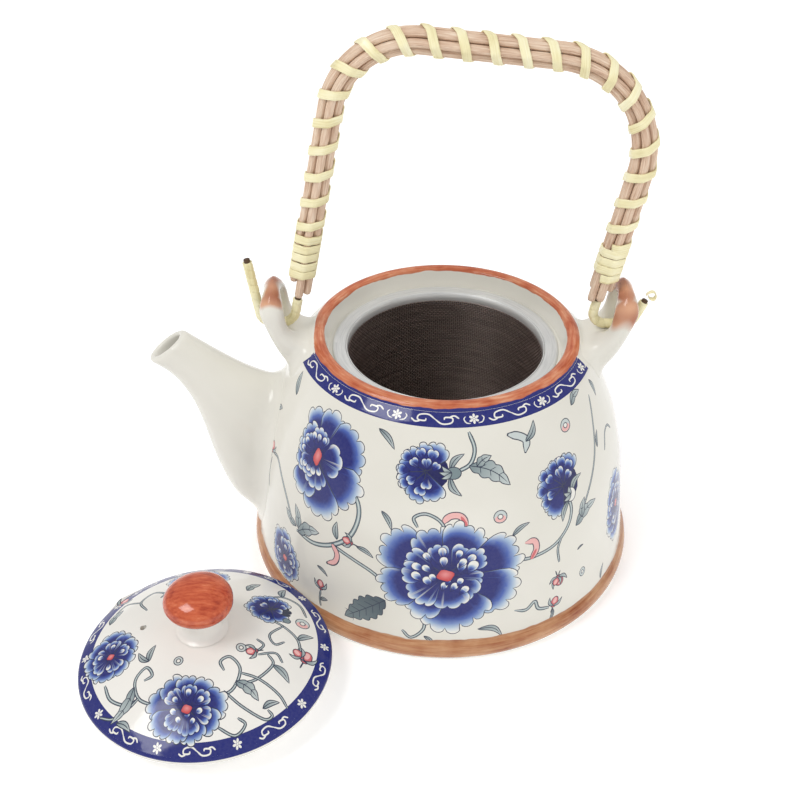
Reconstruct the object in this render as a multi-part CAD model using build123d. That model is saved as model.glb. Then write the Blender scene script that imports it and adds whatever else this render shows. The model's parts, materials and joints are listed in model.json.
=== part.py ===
from build123d import *

import math
import os

# Porcelain teapot with a rattan bail handle, a loose lid and a steel mesh infuser.
#
# Millimetres, +Z up.  The origin is the centre of the foot on the table, on the pot's axis.
# The spout points towards -X, and the bail handle stands in the XZ plane.
# The lid lies beside the pot on its own skirt.

# ---------------------------------------------------------------- pot
POT_HEIGHT = 92.0          # table to the top of the rim
FOOT_RADIUS = 72.9         # widest point, the bead round the foot
FOOT_FACE_RADIUS = 71.2    # outer edge of the flat foot face
FOOT_FACE_INNER = 60.0     # inner edge of the flat foot face
FOOT_RECESS = 1.5          # how far the middle of the bottom is raised
RIM_RADIUS = 48.0          # outside of the painted rim
RIM_INNER = 42.9           # inside of the painted rim
LEDGE_RADIUS = 41.3        # wall of the gallery, where it meets the ledge
LEDGE_INNER = 37.2         # throat of the pot, inside the ledge
LEDGE_Z = 85.1             # the infuser's flange rests here
LEDGE_THICK = 3.6
WALL = 3.8                 # wall of the body
FLOOR_Z = 5.0              # top of the pot's floor
FLOOR_DISC_RADIUS = 56.0   # the flat middle of the floor, inside the curve up to the wall
BODY_PROFILE = [           # (radius, height) of the outside, above the foot bead
    (70.8, 8.2),
    (69.0, 25.0),
    (66.5, 45.0),
    (63.0, 60.0),
    (58.3, 72.0),
    (55.0, 80.0),
    (52.0, 86.5),
]

# ---------------------------------------------------------------- spout
# Each section is the lower edge (x, z), the upper edge (x, z) and the half width in Y.
SPOUT_SECTIONS = [
    ((-107.0, 79.3), (-93.3, 89.6), 6.8),
    ((-99.8, 74.0), (-88.0, 85.5), 7.1),
    ((-94.5, 66.5), (-79.2, 79.0), 8.6),
    ((-90.5, 56.0), (-70.7, 73.5), 11.0),
    ((-85.5, 34.0), (-60.0, 69.0), 14.0),
    ((-79.0, 18.0), (-54.0, 66.0), 15.5),
    ((-68.0, 9.5), (-50.0, 60.0), 15.5),
]
SPOUT_WALL = 2.6
STRAIN_HOLE_RADIUS = 2.6   # holes through the pot's wall behind the spout
STRAIN_ROWS = [(24.0, 1), (32.5, 2), (41.0, 3), (49.5, 2), (58.0, 1)]   # (height, holes)
STRAIN_PITCH = 8.0

# ---------------------------------------------------------------- lugs
LUG_HALF_WIDTH = 11.0      # half width along Y
LUG_TOP_Z = 112.0
LUG_STRAIGHT_Z = 90.0      # the lug's sides narrow below this height
LUG_ROUNDING = 1.6
BACK_LUG_SHIFT = 1.4       # the lug away from the spout leans this much further out
LUG_SIDE = [               # closed smooth outline in the XZ plane
    (50.0, 78.0),
    (56.8, 83.0),
    (63.3, 98.0),
    (64.5, 105.0),
    (60.6, 111.9),
    (57.0, 106.0),
    (54.8, 95.5),
    (49.0, 89.5),
    (46.5, 82.0),
]
LUG_WAIST = (9.5, 82.0)    # (half width, height) on the narrowing sides
LUG_ROOT = (6.0, 76.0)
HOLE_HALF_WIDTH = 5.4
HOLE_TOP_Z = 106.2
SWING_Z = 94.3             # height of the hooks' centre line, where the handle turns

# ---------------------------------------------------------------- handle
CANE_RADIUS = 1.45
CANE_SPREAD = 2.94         # centre of the bundle to the centre of an outer cane
HANDLE_PATH = [            # corners of the bundle's centre line, (x, z)
    (-50.6, 110.0),
    (-33.9, 197.2),
    (68.3, 186.3),
    (53.8, 110.0),
]
HANDLE_BENDS = (26.5, 33.0)
# How far each outer cane runs past the ends of the centre line, at the left and the right.
CANE_ENDS = [(-1.0, 1.6), (4.6, 3.4), (1.0, 2.2), (2.6, 6.0), (3.8, 4.8), (-1.6, 1.0)]
CORE_STOP = 20.0           # the centre cane stops here, to leave room for the hooks
STRIP_WIDTH = 3.0
STRIP_THICK = 0.6
STRIP_PITCH = 9.3          # open turns
WHIP_PITCH = 3.3           # touching turns
WHIP_TURNS_LEFT = 5
WHIP_TURNS_RIGHT = 4
WHIP_START = 4.0           # from the centre line's end to the first touching turn
STRIP_CLEAR = 0.05

# ---------------------------------------------------------------- hooks
HOOK_RADIUS = 1.15
WRAP_RADIUS = 1.75
WRAP_CLEAR = 0.02
WRAP_START = 6.3           # from the end of the centre line to the first turn round the hook
HOOK_IN_BUNDLE = 17.0      # length of each hook inside the bundle
HOOK_LEFT = [(-53.7, SWING_Z), (-64.9, SWING_Z), (-68.7, 119.2)]
HOOK_LEFT_BENDS = (5.0, 4.0)
HOOK_RIGHT = [(50.8, SWING_Z), (65.4, SWING_Z), (69.4, 103.8)]
HOOK_RIGHT_BENDS = (4.4, 3.6)
TAIL_RADIUS = 2.2          # the loose curl at the end of the right hook's strip
TAIL_CENTRE = (71.4, 105.4)

# ---------------------------------------------------------------- lid
LID_CENTRE = (-81.1, -82.0)
LID_RADIUS = 42.5
LID_EDGE_LOW = 9.8
LID_EDGE_HIGH = 12.6
LID_THICK = 3.4
SKIRT_RADIUS = 34.4
SKIRT_INNER = 31.4
LID_DOME = [(41.6, 12.9), (38.0, 15.2), (30.0, 19.4), (20.0, 23.2), (11.0, 25.6)]
NECK_RADIUS = 6.2
NECK_FOOT_Z = 27.0
NECK_TOP_Z = 34.0
KNOB_RADIUS = 11.5
KNOB_HALF_HEIGHT = 6.3
KNOB_Z = 39.2
VENT_RADIUS = 1.1
VENT_OFFSET = (-20.5, 3.0)

# ---------------------------------------------------------------- infuser
FLANGE_RADIUS = 40.3
FLANGE_INNER = 35.6
FLANGE_THICK = 0.6
COLLAR_THICK = 0.4
COLLAR_HEIGHT = 5.0
MESH_THICK = 0.5
MESH_TOP_RADIUS = 35.5
MESH_FLOOR_RADIUS = 33.6
MESH_FLOOR_Z = 28.0
SEAM_HEIGHT = 2.4
SEAM_THICK = 0.7


def save(shape, name):
    """Label a shape and write it as its own STEP file."""
    shape.label = name
    export_step(shape, f"parts/{name}.step")


def revolve_outline(outline):
    """Turn a closed outline in the XZ plane round the Z axis."""
    return revolve(make_face(Plane.XZ * outline), Axis.Z)


def mirrored(points):
    """The same XZ points on the other side of the pot's axis."""
    return [(-x, z) for x, z in points]


# ================================================================ porcelain pot
def body_outside():
    """The outside of the pot, from the foot face up to the rim."""
    foot = Line((0, 0), (FOOT_FACE_RADIUS, 0))
    bead = ThreePointArc((FOOT_FACE_RADIUS, 0), (FOOT_RADIUS, 3.4), BODY_PROFILE[0])
    wall = Spline(*BODY_PROFILE)
    lip = Line(BODY_PROFILE[-1], (RIM_RADIUS, 90.0))
    round_over = ThreePointArc((RIM_RADIUS, 90.0), (46.6, POT_HEIGHT - 0.3), (45.2, POT_HEIGHT))
    top = Line((45.2, POT_HEIGHT), (0, POT_HEIGHT))
    axis = Line((0, POT_HEIGHT), (0, 0))
    return revolve_outline(foot + bead + wall + lip + round_over + top + axis)


def body_inside():
    """The water space and the gallery above it."""
    throat_low = LEDGE_Z - LEDGE_THICK
    inner_wall = [(radius - WALL, height) for radius, height in BODY_PROFILE[1:-2]]
    floor = Line((0, FLOOR_Z), (inner_wall[0][0] - 9.0, FLOOR_Z))
    wall = Spline(
        (inner_wall[0][0] - 9.0, FLOOR_Z),
        (inner_wall[0][0] - 1.2, 12.0),
        *inner_wall,
        (LEDGE_INNER + 6.0, throat_low - 2.2),
        (LEDGE_INNER, throat_low),
        tangents=((1, 0), (-1, 0.25)),
    )
    gallery = Polyline(
        (LEDGE_INNER, throat_low),
        (LEDGE_INNER, LEDGE_Z),
        (LEDGE_RADIUS, LEDGE_Z),
        (RIM_INNER, POT_HEIGHT - 1.2),
        (RIM_INNER + 0.6, POT_HEIGHT + 1.0),
        (0, POT_HEIGHT + 1.0),
        (0, FLOOR_Z),
    )
    return revolve_outline(floor + wall + gallery)


def foot_recess():
    """The shallow hollow inside the foot ring."""
    return Pos(0, 0, FOOT_RECESS / 2) * Cone(FOOT_FACE_INNER, FOOT_FACE_INNER - 3.0, FOOT_RECESS)


def strainer_holes():
    """Round holes through the pot's wall, behind the spout."""
    drill = Pos(-62, 0, 0) * Rot(0, 90, 0) * Cylinder(STRAIN_HOLE_RADIUS, 30)
    holes = []
    for height, count in STRAIN_ROWS:
        for index in range(count):
            offset = (index - (count - 1) / 2) * STRAIN_PITCH
            holes.append(Pos(0, offset, height) * drill)
    return holes


def whole_pot():
    return body_outside() - body_inside() - foot_recess() - strainer_holes()


def pot_floor_cylinder():
    """The cylinder that parts the flat middle of the floor from the wall."""
    return Pos(0, 0, FLOOR_Z / 2) * Cylinder(FLOOR_DISC_RADIUS, FLOOR_Z + 1.0)


# ================================================================ spout
def spout_section(low, high, half_width, inset):
    """An ellipse between two edge points, shrunk by the inset."""
    (x_low, z_low), (x_high, z_high) = low, high
    rise = Vector(x_high - x_low, 0, z_high - z_low)
    centre = ((x_low + x_high) / 2, 0, (z_low + z_high) / 2)
    plane = Plane(origin=centre, x_dir=rise, z_dir=rise.cross(Vector(0, 1, 0)))
    return plane * Ellipse(rise.length / 2 - inset, half_width - inset)


def spout_loft(inset):
    return loft([spout_section(*section, inset) for section in SPOUT_SECTIONS])


def mouth_plug():
    """A short extension of the bore, so that the mouth is open."""
    section = spout_section(*SPOUT_SECTIONS[0], SPOUT_WALL)
    return extrude(section, 2.0, both=True)


def spout(outside):
    return spout_loft(0) - spout_loft(SPOUT_WALL) - mouth_plug() - outside


# ================================================================ lugs
def lug_blank():
    """The lug on the +X side, as a leaning slab with an arched top, before its hole."""
    side = make_face(Plane.XZ * Spline(*LUG_SIDE, periodic=True))
    slab = extrude(side, 2 * LUG_HALF_WIDTH, both=True)
    width, arch_z = LUG_HALF_WIDTH, LUG_TOP_Z - LUG_HALF_WIDTH
    top = ThreePointArc((width, arch_z), (0, LUG_TOP_Z), (-width, arch_z))
    left_side = Line((-width, arch_z), (-width, LUG_STRAIGHT_Z))
    left_foot = Spline(
        (-width, LUG_STRAIGHT_Z),
        (-LUG_WAIST[0], LUG_WAIST[1]),
        (-LUG_ROOT[0], LUG_ROOT[1]),
        tangents=((0, -1), (0.6, -1)),
    )
    right_half = mirror(left_side + left_foot, Plane.YZ)
    root = Line((-LUG_ROOT[0], LUG_ROOT[1]), LUG_ROOT)
    front = make_face(Plane.YZ * (top + left_side + left_foot + root + right_half))
    return slab & (Pos(40, 0, 0) * extrude(front, 40))


def lug_hole():
    """The opening that the hook hangs in, along X."""
    low = SWING_Z - WRAP_RADIUS - 0.3
    outline = ThreePointArc((-HOLE_HALF_WIDTH, low + 5.2), (0, low), (HOLE_HALF_WIDTH, low + 5.2))
    crown = ThreePointArc(
        (HOLE_HALF_WIDTH, low + 5.2),
        (0, HOLE_TOP_Z),
        (-HOLE_HALF_WIDTH, low + 5.2),
    )
    return Pos(45, 0, 0) * extrude(make_face(Plane.YZ * (outline + crown)), 30)


def lug(outside, left):
    drilled = lug_blank() - lug_hole()
    above_root = drilled.edges().filter_by(lambda edge: edge.center().Z > 84.0 and edge.length > 3.0)
    shape = fillet(above_root, LUG_ROUNDING)
    shape = mirror(shape, Plane.YZ) if left else Pos(BACK_LUG_SHIFT, 0, 0) * shape
    return shape - outside


# ================================================================ handle
def shifted_path(offset, start_extra, end_extra, corners=tuple(HANDLE_PATH), bends=HANDLE_BENDS):
    """The handle's centre line, shifted outwards in its own plane and made longer at its ends."""
    points = [Vector(x, 0, z) for x, z in corners]
    runs = [(b - a).normalized() for a, b in zip(points, points[1:])]
    sides = [Vector(-run.Z, 0, run.X) for run in runs]
    shifted = [points[0] + sides[0] * offset - runs[0] * start_extra]
    for index in range(1, len(points) - 1):
        before, after = sides[index - 1], sides[index]
        mitre = (before + after) * (1 / (1 + before.dot(after)))
        shifted.append(points[index] + mitre * offset)
    shifted.append(points[-1] + sides[-1] * offset + runs[-1] * end_extra)
    return FilletPolyline(*shifted, radius=[bend + offset for bend in bends])


def cane(offset, depth, start_extra, end_extra):
    """One round cane that follows the handle, beside its centre line."""
    path = Pos(0, depth, 0) * shifted_path(offset, start_extra, end_extra)
    return sweep((path ^ 0) * Circle(CANE_RADIUS), path)


def strip_turn(path, distance):
    """One turn of the flat strip round the bundle, at a distance along the centre line."""
    inner = CANE_SPREAD + CANE_RADIUS + STRIP_CLEAR
    band = Cylinder(inner + STRIP_THICK, STRIP_WIDTH) - Cylinder(inner, STRIP_WIDTH)
    return (path ^ (distance / path.length)) * band


def strip_turns(path, start, count, pitch):
    return Compound([strip_turn(path, start + index * pitch) for index in range(count)])


# ================================================================ hooks
def hook_path(end_of_bundle, along, corners, bends):
    """From inside the bundle, down through the lug and up to the hook's tip."""
    start = end_of_bundle + along * HOOK_IN_BUNDLE
    points = [start] + [Vector(x, 0, z) for x, z in corners]
    return FilletPolyline(*points, radius=list(bends))


def hook_wire(path):
    return sweep((path ^ 0) * Circle(HOOK_RADIUS), path)


def hook_wrap(path):
    """The strip wound round the part of the hook outside the bundle."""
    first = (HOOK_IN_BUNDLE + WRAP_START) / path.length
    exposed = path.trim(first, 0.985)
    inner = HOOK_RADIUS + WRAP_CLEAR
    return sweep((exposed ^ 0) * (Circle(WRAP_RADIUS) - Circle(inner)), exposed)


def strip_tail():
    """The loose end of the right hook's strip, which curls open."""
    x, z = TAIL_CENTRE
    ring = Cylinder(TAIL_RADIUS, STRIP_WIDTH) - Cylinder(TAIL_RADIUS - STRIP_THICK, STRIP_WIDTH)
    gap = Pos(TAIL_RADIUS * 0.7, -TAIL_RADIUS * 0.7, 0) * Box(TAIL_RADIUS * 1.4, TAIL_RADIUS * 1.4, 8)
    return Pos(x, 0, z) * Rot(90, 0, 0) * (ring - gap)


# ================================================================ lid
def lid_shell():
    dome = Spline((LID_RADIUS - 0.5, LID_EDGE_HIGH), *LID_DOME)
    neck = Spline(
        LID_DOME[-1],
        (NECK_RADIUS + 1.0, NECK_FOOT_Z),
        (NECK_RADIUS, NECK_TOP_Z - 3.5),
        (NECK_RADIUS + 0.8, NECK_TOP_Z),
        tangents=((-1, 0.18), (0.3, 1)),
    )
    top = Polyline((NECK_RADIUS + 0.8, NECK_TOP_Z), (0, NECK_TOP_Z), (0, LID_DOME[-1][1] - LID_THICK))
    under = Spline(
        (0, LID_DOME[-1][1] - LID_THICK),
        (20.0, LID_DOME[3][1] - LID_THICK - 0.4),
        (SKIRT_INNER, 14.0),
        tangents=((1, 0), (1, -0.9)),
    )
    skirt = Polyline(
        (SKIRT_INNER, 14.0),
        (SKIRT_INNER, 0),
        (SKIRT_RADIUS, 0),
        (SKIRT_RADIUS, LID_EDGE_LOW),
        (LID_RADIUS - 0.9, LID_EDGE_LOW),
    )
    edge = ThreePointArc(
        (LID_RADIUS - 0.9, LID_EDGE_LOW),
        (LID_RADIUS, (LID_EDGE_LOW + LID_EDGE_HIGH) / 2),
        (LID_RADIUS - 0.5, LID_EDGE_HIGH),
    )
    shell = revolve_outline(dome + neck + top + under + skirt + edge)
    vent = Pos(VENT_OFFSET[0], VENT_OFFSET[1], 20) * Cylinder(VENT_RADIUS, 20)
    return shell - vent - knob_blank()


def knob_blank():
    """The flattened ball on top of the lid."""
    return Pos(0, 0, KNOB_Z) * scale(Sphere(KNOB_RADIUS), by=(1, 1, KNOB_HALF_HEIGHT / KNOB_RADIUS))


# ================================================================ infuser
def ring(outer, inner, low, high):
    tube = Cylinder(outer, high - low) - Cylinder(inner, high - low)
    return Pos(0, 0, (low + high) / 2) * tube


def mesh_wall(low, high):
    """The woven basket's wall as a thin tapered tube."""
    tube = Cone(MESH_FLOOR_RADIUS, MESH_TOP_RADIUS - COLLAR_THICK, high - low)
    bore = Cone(MESH_FLOOR_RADIUS - MESH_THICK, MESH_TOP_RADIUS - COLLAR_THICK - MESH_THICK, high - low)
    return Pos(0, 0, (low + high) / 2) * (tube - bore)


def build():
    outside = body_outside()
    pot = whole_pot()
    save(pot - pot_floor_cylinder(), "pot_body")
    save(pot & pot_floor_cylinder(), "pot_floor")
    save(spout(outside), "spout")
    save(lug(outside, left=True), "lug_spout_side")
    save(lug(outside, left=False), "lug_back_side")

    # The rattan bundle: six canes round a shorter one.
    for index, (start_extra, end_extra) in enumerate(CANE_ENDS):
        angle = math.radians(60 * index + 30)
        rod = cane(CANE_SPREAD * math.cos(angle), CANE_SPREAD * math.sin(angle), start_extra, end_extra)
        save(rod, f"cane_{index + 1}")
    save(cane(0, 0, -CORE_STOP, -CORE_STOP), "cane_core")

    centre_line = shifted_path(0, 0, 0)
    whip_left_end = WHIP_START + (WHIP_TURNS_LEFT - 1) * WHIP_PITCH
    whip_right_end = WHIP_START + (WHIP_TURNS_RIGHT - 1) * WHIP_PITCH
    open_length = centre_line.length - whip_left_end - whip_right_end
    open_turns = round(open_length / STRIP_PITCH) - 1
    open_pitch = open_length / (open_turns + 1)
    save(strip_turns(centre_line, WHIP_START, WHIP_TURNS_LEFT, WHIP_PITCH), "whipping_left")
    save(strip_turns(centre_line, whip_left_end + open_pitch, open_turns, open_pitch), "binding_strip")
    right_start = centre_line.length - whip_right_end
    save(strip_turns(centre_line, right_start, WHIP_TURNS_RIGHT, WHIP_PITCH), "whipping_right")

    hooks = (
        ("left", centre_line @ 0, centre_line % 0, HOOK_LEFT, HOOK_LEFT_BENDS),
        ("right", centre_line @ 1, (centre_line % 1) * -1, HOOK_RIGHT, HOOK_RIGHT_BENDS),
    )
    for side, end, along, corners, bends in hooks:
        path = hook_path(end, along, corners, bends)
        save(hook_wire(path), f"hook_{side}_core")
        save(hook_wrap(path), f"hook_{side}_wrap")
    save(strip_tail(), "strip_tail")

    lid_place = Pos(*LID_CENTRE, 0)
    save(lid_place * lid_shell(), "lid_shell")
    save(lid_place * knob_blank(), "lid_knob")

    save(ring(FLANGE_RADIUS, FLANGE_INNER, LEDGE_Z, LEDGE_Z + FLANGE_THICK), "infuser_flange")
    collar_low = LEDGE_Z + FLANGE_THICK - COLLAR_HEIGHT
    save(ring(FLANGE_INNER, FLANGE_INNER - COLLAR_THICK, collar_low, LEDGE_Z + FLANGE_THICK), "infuser_collar")
    save(mesh_wall(MESH_FLOOR_Z, collar_low + 2.0), "infuser_mesh_wall")
    floor_disc = Cylinder(MESH_FLOOR_RADIUS - MESH_THICK, MESH_THICK)
    save(Pos(0, 0, MESH_FLOOR_Z + MESH_THICK / 2) * floor_disc, "infuser_mesh_floor")
    seam_outer = MESH_FLOOR_RADIUS + SEAM_THICK
    save(ring(seam_outer, seam_outer - 0.5, MESH_FLOOR_Z - 0.3, MESH_FLOOR_Z + SEAM_HEIGHT), "infuser_seam_ring")


os.makedirs("parts", exist_ok=True)
build()
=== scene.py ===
import json
import math

import bpy
import numpy as np
from mathutils import Matrix, Vector
from mathutils.geometry import delaunay_2d_cdt


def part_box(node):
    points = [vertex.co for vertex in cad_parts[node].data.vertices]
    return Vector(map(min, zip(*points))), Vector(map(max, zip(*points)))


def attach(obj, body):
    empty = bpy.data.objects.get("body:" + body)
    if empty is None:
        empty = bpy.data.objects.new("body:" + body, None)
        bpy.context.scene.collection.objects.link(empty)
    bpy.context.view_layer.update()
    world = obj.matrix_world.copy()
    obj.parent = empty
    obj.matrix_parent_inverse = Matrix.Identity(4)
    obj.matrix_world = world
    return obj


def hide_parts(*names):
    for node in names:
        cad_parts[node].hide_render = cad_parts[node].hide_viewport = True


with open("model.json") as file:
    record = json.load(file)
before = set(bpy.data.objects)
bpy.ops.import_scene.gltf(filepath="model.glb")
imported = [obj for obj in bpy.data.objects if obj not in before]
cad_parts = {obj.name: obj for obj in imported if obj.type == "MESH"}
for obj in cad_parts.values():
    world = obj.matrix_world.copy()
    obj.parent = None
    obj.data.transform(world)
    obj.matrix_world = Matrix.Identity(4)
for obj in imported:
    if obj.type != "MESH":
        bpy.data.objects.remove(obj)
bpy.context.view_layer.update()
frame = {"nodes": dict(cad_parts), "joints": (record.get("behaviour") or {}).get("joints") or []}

# Lengths below are millimetres unless they say otherwise; meshes are scaled to metres when they are made.
MM = 0.001
TAU = 2 * math.pi


# ================================================================ shader helpers
def srgb(red, green, blue):
    """A linear colour from 0-255 display values."""
    parts = [value / 255 for value in (red, green, blue)]
    return tuple(p / 12.92 if p < 0.04045 else ((p + 0.055) / 1.055) ** 2.4 for p in parts)


class Skin:
    """A Principled material with short calls for the nodes that feed it."""

    def __init__(self, name, **values):
        self.material = bpy.data.materials.new(name)
        self.material.use_nodes = True
        self.tree = self.material.node_tree
        self.shader = self.tree.nodes["Principled BSDF"]
        for key, value in values.items():
            self.set(self.shader.inputs[key.replace("_", " ")], value)
        self.place = self.add("ShaderNodeTexCoord").outputs["Object"]

    def set(self, socket, value):
        if isinstance(value, bpy.types.NodeSocket):
            self.tree.links.new(value, socket)
        elif isinstance(value, tuple) and len(value) == 3 and socket.type == "RGBA":
            socket.default_value = (*value, 1.0)
        else:
            socket.default_value = value

    def add(self, kind, inputs=(), **settings):
        node = self.tree.nodes.new(kind)
        for key, value in settings.items():
            setattr(node, key, value)
        for key, value in dict(inputs).items():
            self.set(node.inputs[key], value)
        return node

    def math(self, operation, *values):
        return self.add("ShaderNodeMath", enumerate(values), operation=operation).outputs[0]

    def step(self, value, low, high):
        """0 below low, 1 above high, smooth between."""
        node = self.add("ShaderNodeMapRange", {"Value": value, "From Min": low, "From Max": high})
        node.interpolation_type = "SMOOTHSTEP"
        return node.outputs[0]

    def mix(self, factor, first, second):
        node = self.add("ShaderNodeMix", data_type="RGBA")
        for socket, value in zip((node.inputs[0], node.inputs[6], node.inputs[7]), (factor, first, second)):
            self.set(socket, value)
        return node.outputs[2]

    def ramp(self, factor, *stops):
        node = self.add("ShaderNodeValToRGB", {"Fac": factor})
        elements = node.color_ramp.elements
        while len(elements) < len(stops):
            elements.new(0.5)
        for element, (position, colour) in zip(elements, stops):
            element.position, element.color = position, (*colour, 1.0)
        return node.outputs["Color"]

    def noise(self, vector, scale, detail, roughness=0.55):
        """Noise with about scale features per millimetre of the vector."""
        wanted = {"Vector": vector, "Scale": scale / MM, "Detail": detail, "Roughness": roughness}
        return self.add("ShaderNodeTexNoise", wanted).outputs["Fac"]

    def vector(self, *parts):
        return self.add("ShaderNodeCombineXYZ", enumerate(parts)).outputs[0]

    def split(self, vector):
        return self.add("ShaderNodeSeparateXYZ", {0: vector}).outputs

    def attribute(self, name):
        return self.add("ShaderNodeAttribute", attribute_name=name)

    def bump(self, height, distance, strength=1.0, before=None):
        """A normal from a height, with its depth in millimetres, on top of an earlier bump."""
        wanted = {"Height": height, "Distance": distance * MM, "Strength": strength}
        if before is not None:
            wanted["Normal"] = before
        return self.add("ShaderNodeBump", wanted).outputs[0]

    def round_place(self, centre=(0.0, 0.0)):
        """Radius, arc length round a 50 mm circle, and height, in metres, about a vertical axis."""
        x, y, z = self.split(self.place)
        x = self.math("SUBTRACT", x, centre[0] * MM)
        y = self.math("SUBTRACT", y, centre[1] * MM)
        radius = self.math("SQRT", self.math("ADD", self.math("MULTIPLY", x, x), self.math("MULTIPLY", y, y)))
        turn = self.math("MULTIPLY", self.math("ARCTAN2", y, x), 50 * MM)
        return radius, turn, z


# ================================================================ mesh helpers
def piece(name, points, faces, body, slot, skin, replaces=()):
    """A smooth-shaded mesh object from millimetre points, riding on a body."""
    mesh = bpy.data.meshes.new(name)
    mesh.from_pydata((np.asarray(points, float) * MM).tolist(), [], [list(map(int, f)) for f in faces])
    mesh.materials.append(skin.material)
    mesh.shade_smooth()
    made = bpy.data.objects.new(name, mesh)
    bpy.context.scene.collection.objects.link(made)
    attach(made, body)
    if replaces:
        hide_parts(*replaces)
    return made


def grid_faces(rows, columns, wrap_rows=False):
    """Quads over a grid of points stored row by row, closed along each row."""
    i = np.arange(rows if wrap_rows else rows - 1)[:, None]
    j = np.arange(columns)[None, :]
    ni, nj = (i + 1) % rows, (j + 1) % columns
    quads = [i * columns + j, i * columns + nj, ni * columns + nj, ni * columns + j]
    return np.stack([np.broadcast_to(q, (i.size, j.size)) for q in quads], -1).reshape(-1, 4)


def tube(centres, sides, ups, ring_a, ring_b):
    """Rings of points round a line: centre + a * side + b * up, with quads between them and capped ends."""
    ring_a, ring_b = (np.broadcast_to(r, (len(centres), np.shape(r)[-1])) for r in (ring_a, ring_b))
    points = centres[:, None] + ring_a[..., None] * sides[:, None] + ring_b[..., None] * ups[:, None]
    rows, columns = ring_a.shape
    faces = grid_faces(rows, columns).tolist()
    faces.append(list(range(columns))[::-1])
    faces.append(list(range((rows - 1) * columns, rows * columns)))
    return points.reshape(-1, 3), faces


def joined(parts):
    """One set of points and faces from several."""
    points, faces, first = [], [], 0
    for part_points, part_faces in parts:
        points.append(part_points)
        faces.extend([[v + first for v in face] for face in part_faces])
        first += len(part_points)
    return np.concatenate(points), faces


def lathe(profile, segments, centre=(0.0, 0.0), closed=True):
    """A closed (radius, height) outline turned round a vertical axis."""
    profile = np.asarray(profile, float)
    angles = np.arange(segments) * TAU / segments
    x = centre[0] + profile[:, :1] * np.cos(angles)
    y = centre[1] + profile[:, :1] * np.sin(angles)
    z = np.broadcast_to(profile[:, 1:], x.shape)
    return np.stack([x, y, z], -1).reshape(-1, 3), grid_faces(len(profile), segments,
                                                              wrap_rows=closed).tolist()


def smooth_line(points, per_span, closed=False):
    """A Catmull-Rom line through the points."""
    p = np.asarray(points, float)
    spans = len(p) if closed else len(p) - 1
    p = np.vstack([p[-1:], p, p[:2]]) if closed else np.vstack([2 * p[:1] - p[1:2], p, 2 * p[-1:] - p[-2:-1]])
    t = (np.arange(per_span) / per_span)[:, None]
    out = []
    for a, b, c, d in zip(p, p[1:], p[2:], p[3:]):
        out.append(b + t / 2 * (c - a + t * (2 * a - 5 * b + 4 * c - d + t * (3 * (b - c) + d - a))))
    out = np.vstack(out[:spans])
    return out if closed else np.vstack([out, p[-2:-1]])


# ================================================================ dimensions shared with the CAD model
BODY_PROFILE = [(70.8, 8.2), (69.0, 25.0), (66.5, 45.0), (63.0, 60.0), (58.3, 72.0), (55.0, 80.0),
                (52.0, 86.5)]
LID_CENTRE = (-81.1, -82.0)
SWING_Z = frame["joints"][0]["pos_m"][2] / MM     # height of the handle's hinge


# ================================================================ materials

RIM_HALF_WAY = 50.0           # brown bands above this height belong to the rim
RIM_INSIDE = (42.1 * MM, 42.6 * MM)     # the rim's brown fades out between these radii
TAN_TO_BROWN = (0.02, 0.06)   # heights in metres between the foot's tan and the rim's brown


def glaze(name, centre=(0.0, 0.0), edges=(), shades=(srgb(219, 216, 205), srgb(230, 227, 218))):
    """White glaze over the transfer print. Each edge is a brown band: from height, to height, softness."""
    skin = Skin(name, Roughness=0.10, IOR=1.5, Specular_IOR_Level=0.32)
    radius, turn, height = skin.round_place(centre)
    cloud = skin.noise(skin.place, 0.03, 2.0)
    base = skin.mix(cloud, *shades)
    printed = skin.attribute("paint")
    ink = skin.noise(skin.place, 1.1, 3.0)
    dense = skin.mix(skin.math("MULTIPLY", ink, 0.05), printed.outputs["Color"], base)
    colour = skin.mix(printed.outputs["Alpha"], base, dense)
    if edges:
        streak_place = skin.vector(skin.math("MULTIPLY", turn, 0.10), radius, height)
        streaks = skin.noise(streak_place, 1.0, 4.0, 0.6)
        patches = skin.noise(skin.place, 0.10, 3.0)
        mixed = skin.math("ADD", skin.math("MULTIPLY", streaks, 0.55), skin.math("MULTIPLY", patches, 0.45))
        brown = skin.ramp(
            mixed,
            (0.30, srgb(150, 62, 40)),
            (0.43, srgb(186, 100, 68)),
            (0.55, srgb(204, 130, 96)),
            (0.68, srgb(226, 178, 146)),
        )
        tan = skin.ramp(
            mixed,
            (0.28, srgb(128, 48, 34)),
            (0.38, srgb(164, 104, 70)),
            (0.54, srgb(190, 140, 102)),
            (0.72, srgb(212, 170, 134)),
        )
        brown = skin.mix(skin.step(height, *TAN_TO_BROWN), tan, brown)
        wobble = skin.math("MULTIPLY", skin.math("SUBTRACT", skin.noise(skin.place, 0.12, 2.0), 0.5),
                           1.6 * MM)
        for low, high, soft in edges:
            value = skin.math("ADD", height, wobble)
            above = skin.step(value, (low - soft) * MM, (low + soft) * MM)
            below = skin.math("SUBTRACT", 1.0, skin.step(value, (high - soft) * MM, (high + soft) * MM))
            mask = skin.math("MULTIPLY", above, below)
            if low > RIM_HALF_WAY:
                mask = skin.math("MULTIPLY", mask, skin.step(radius, *RIM_INSIDE))
            colour = skin.mix(mask, colour, brown)
    skin.set(skin.shader.inputs["Base Color"], colour)
    waves = skin.noise(skin.place, 0.035, 2.0)
    peel = skin.noise(skin.place, 0.7, 2.0)
    normal = skin.bump(peel, 0.010, 1.0, skin.bump(waves, 0.55))
    skin.set(skin.shader.inputs["Normal"], normal)
    return skin


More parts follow.
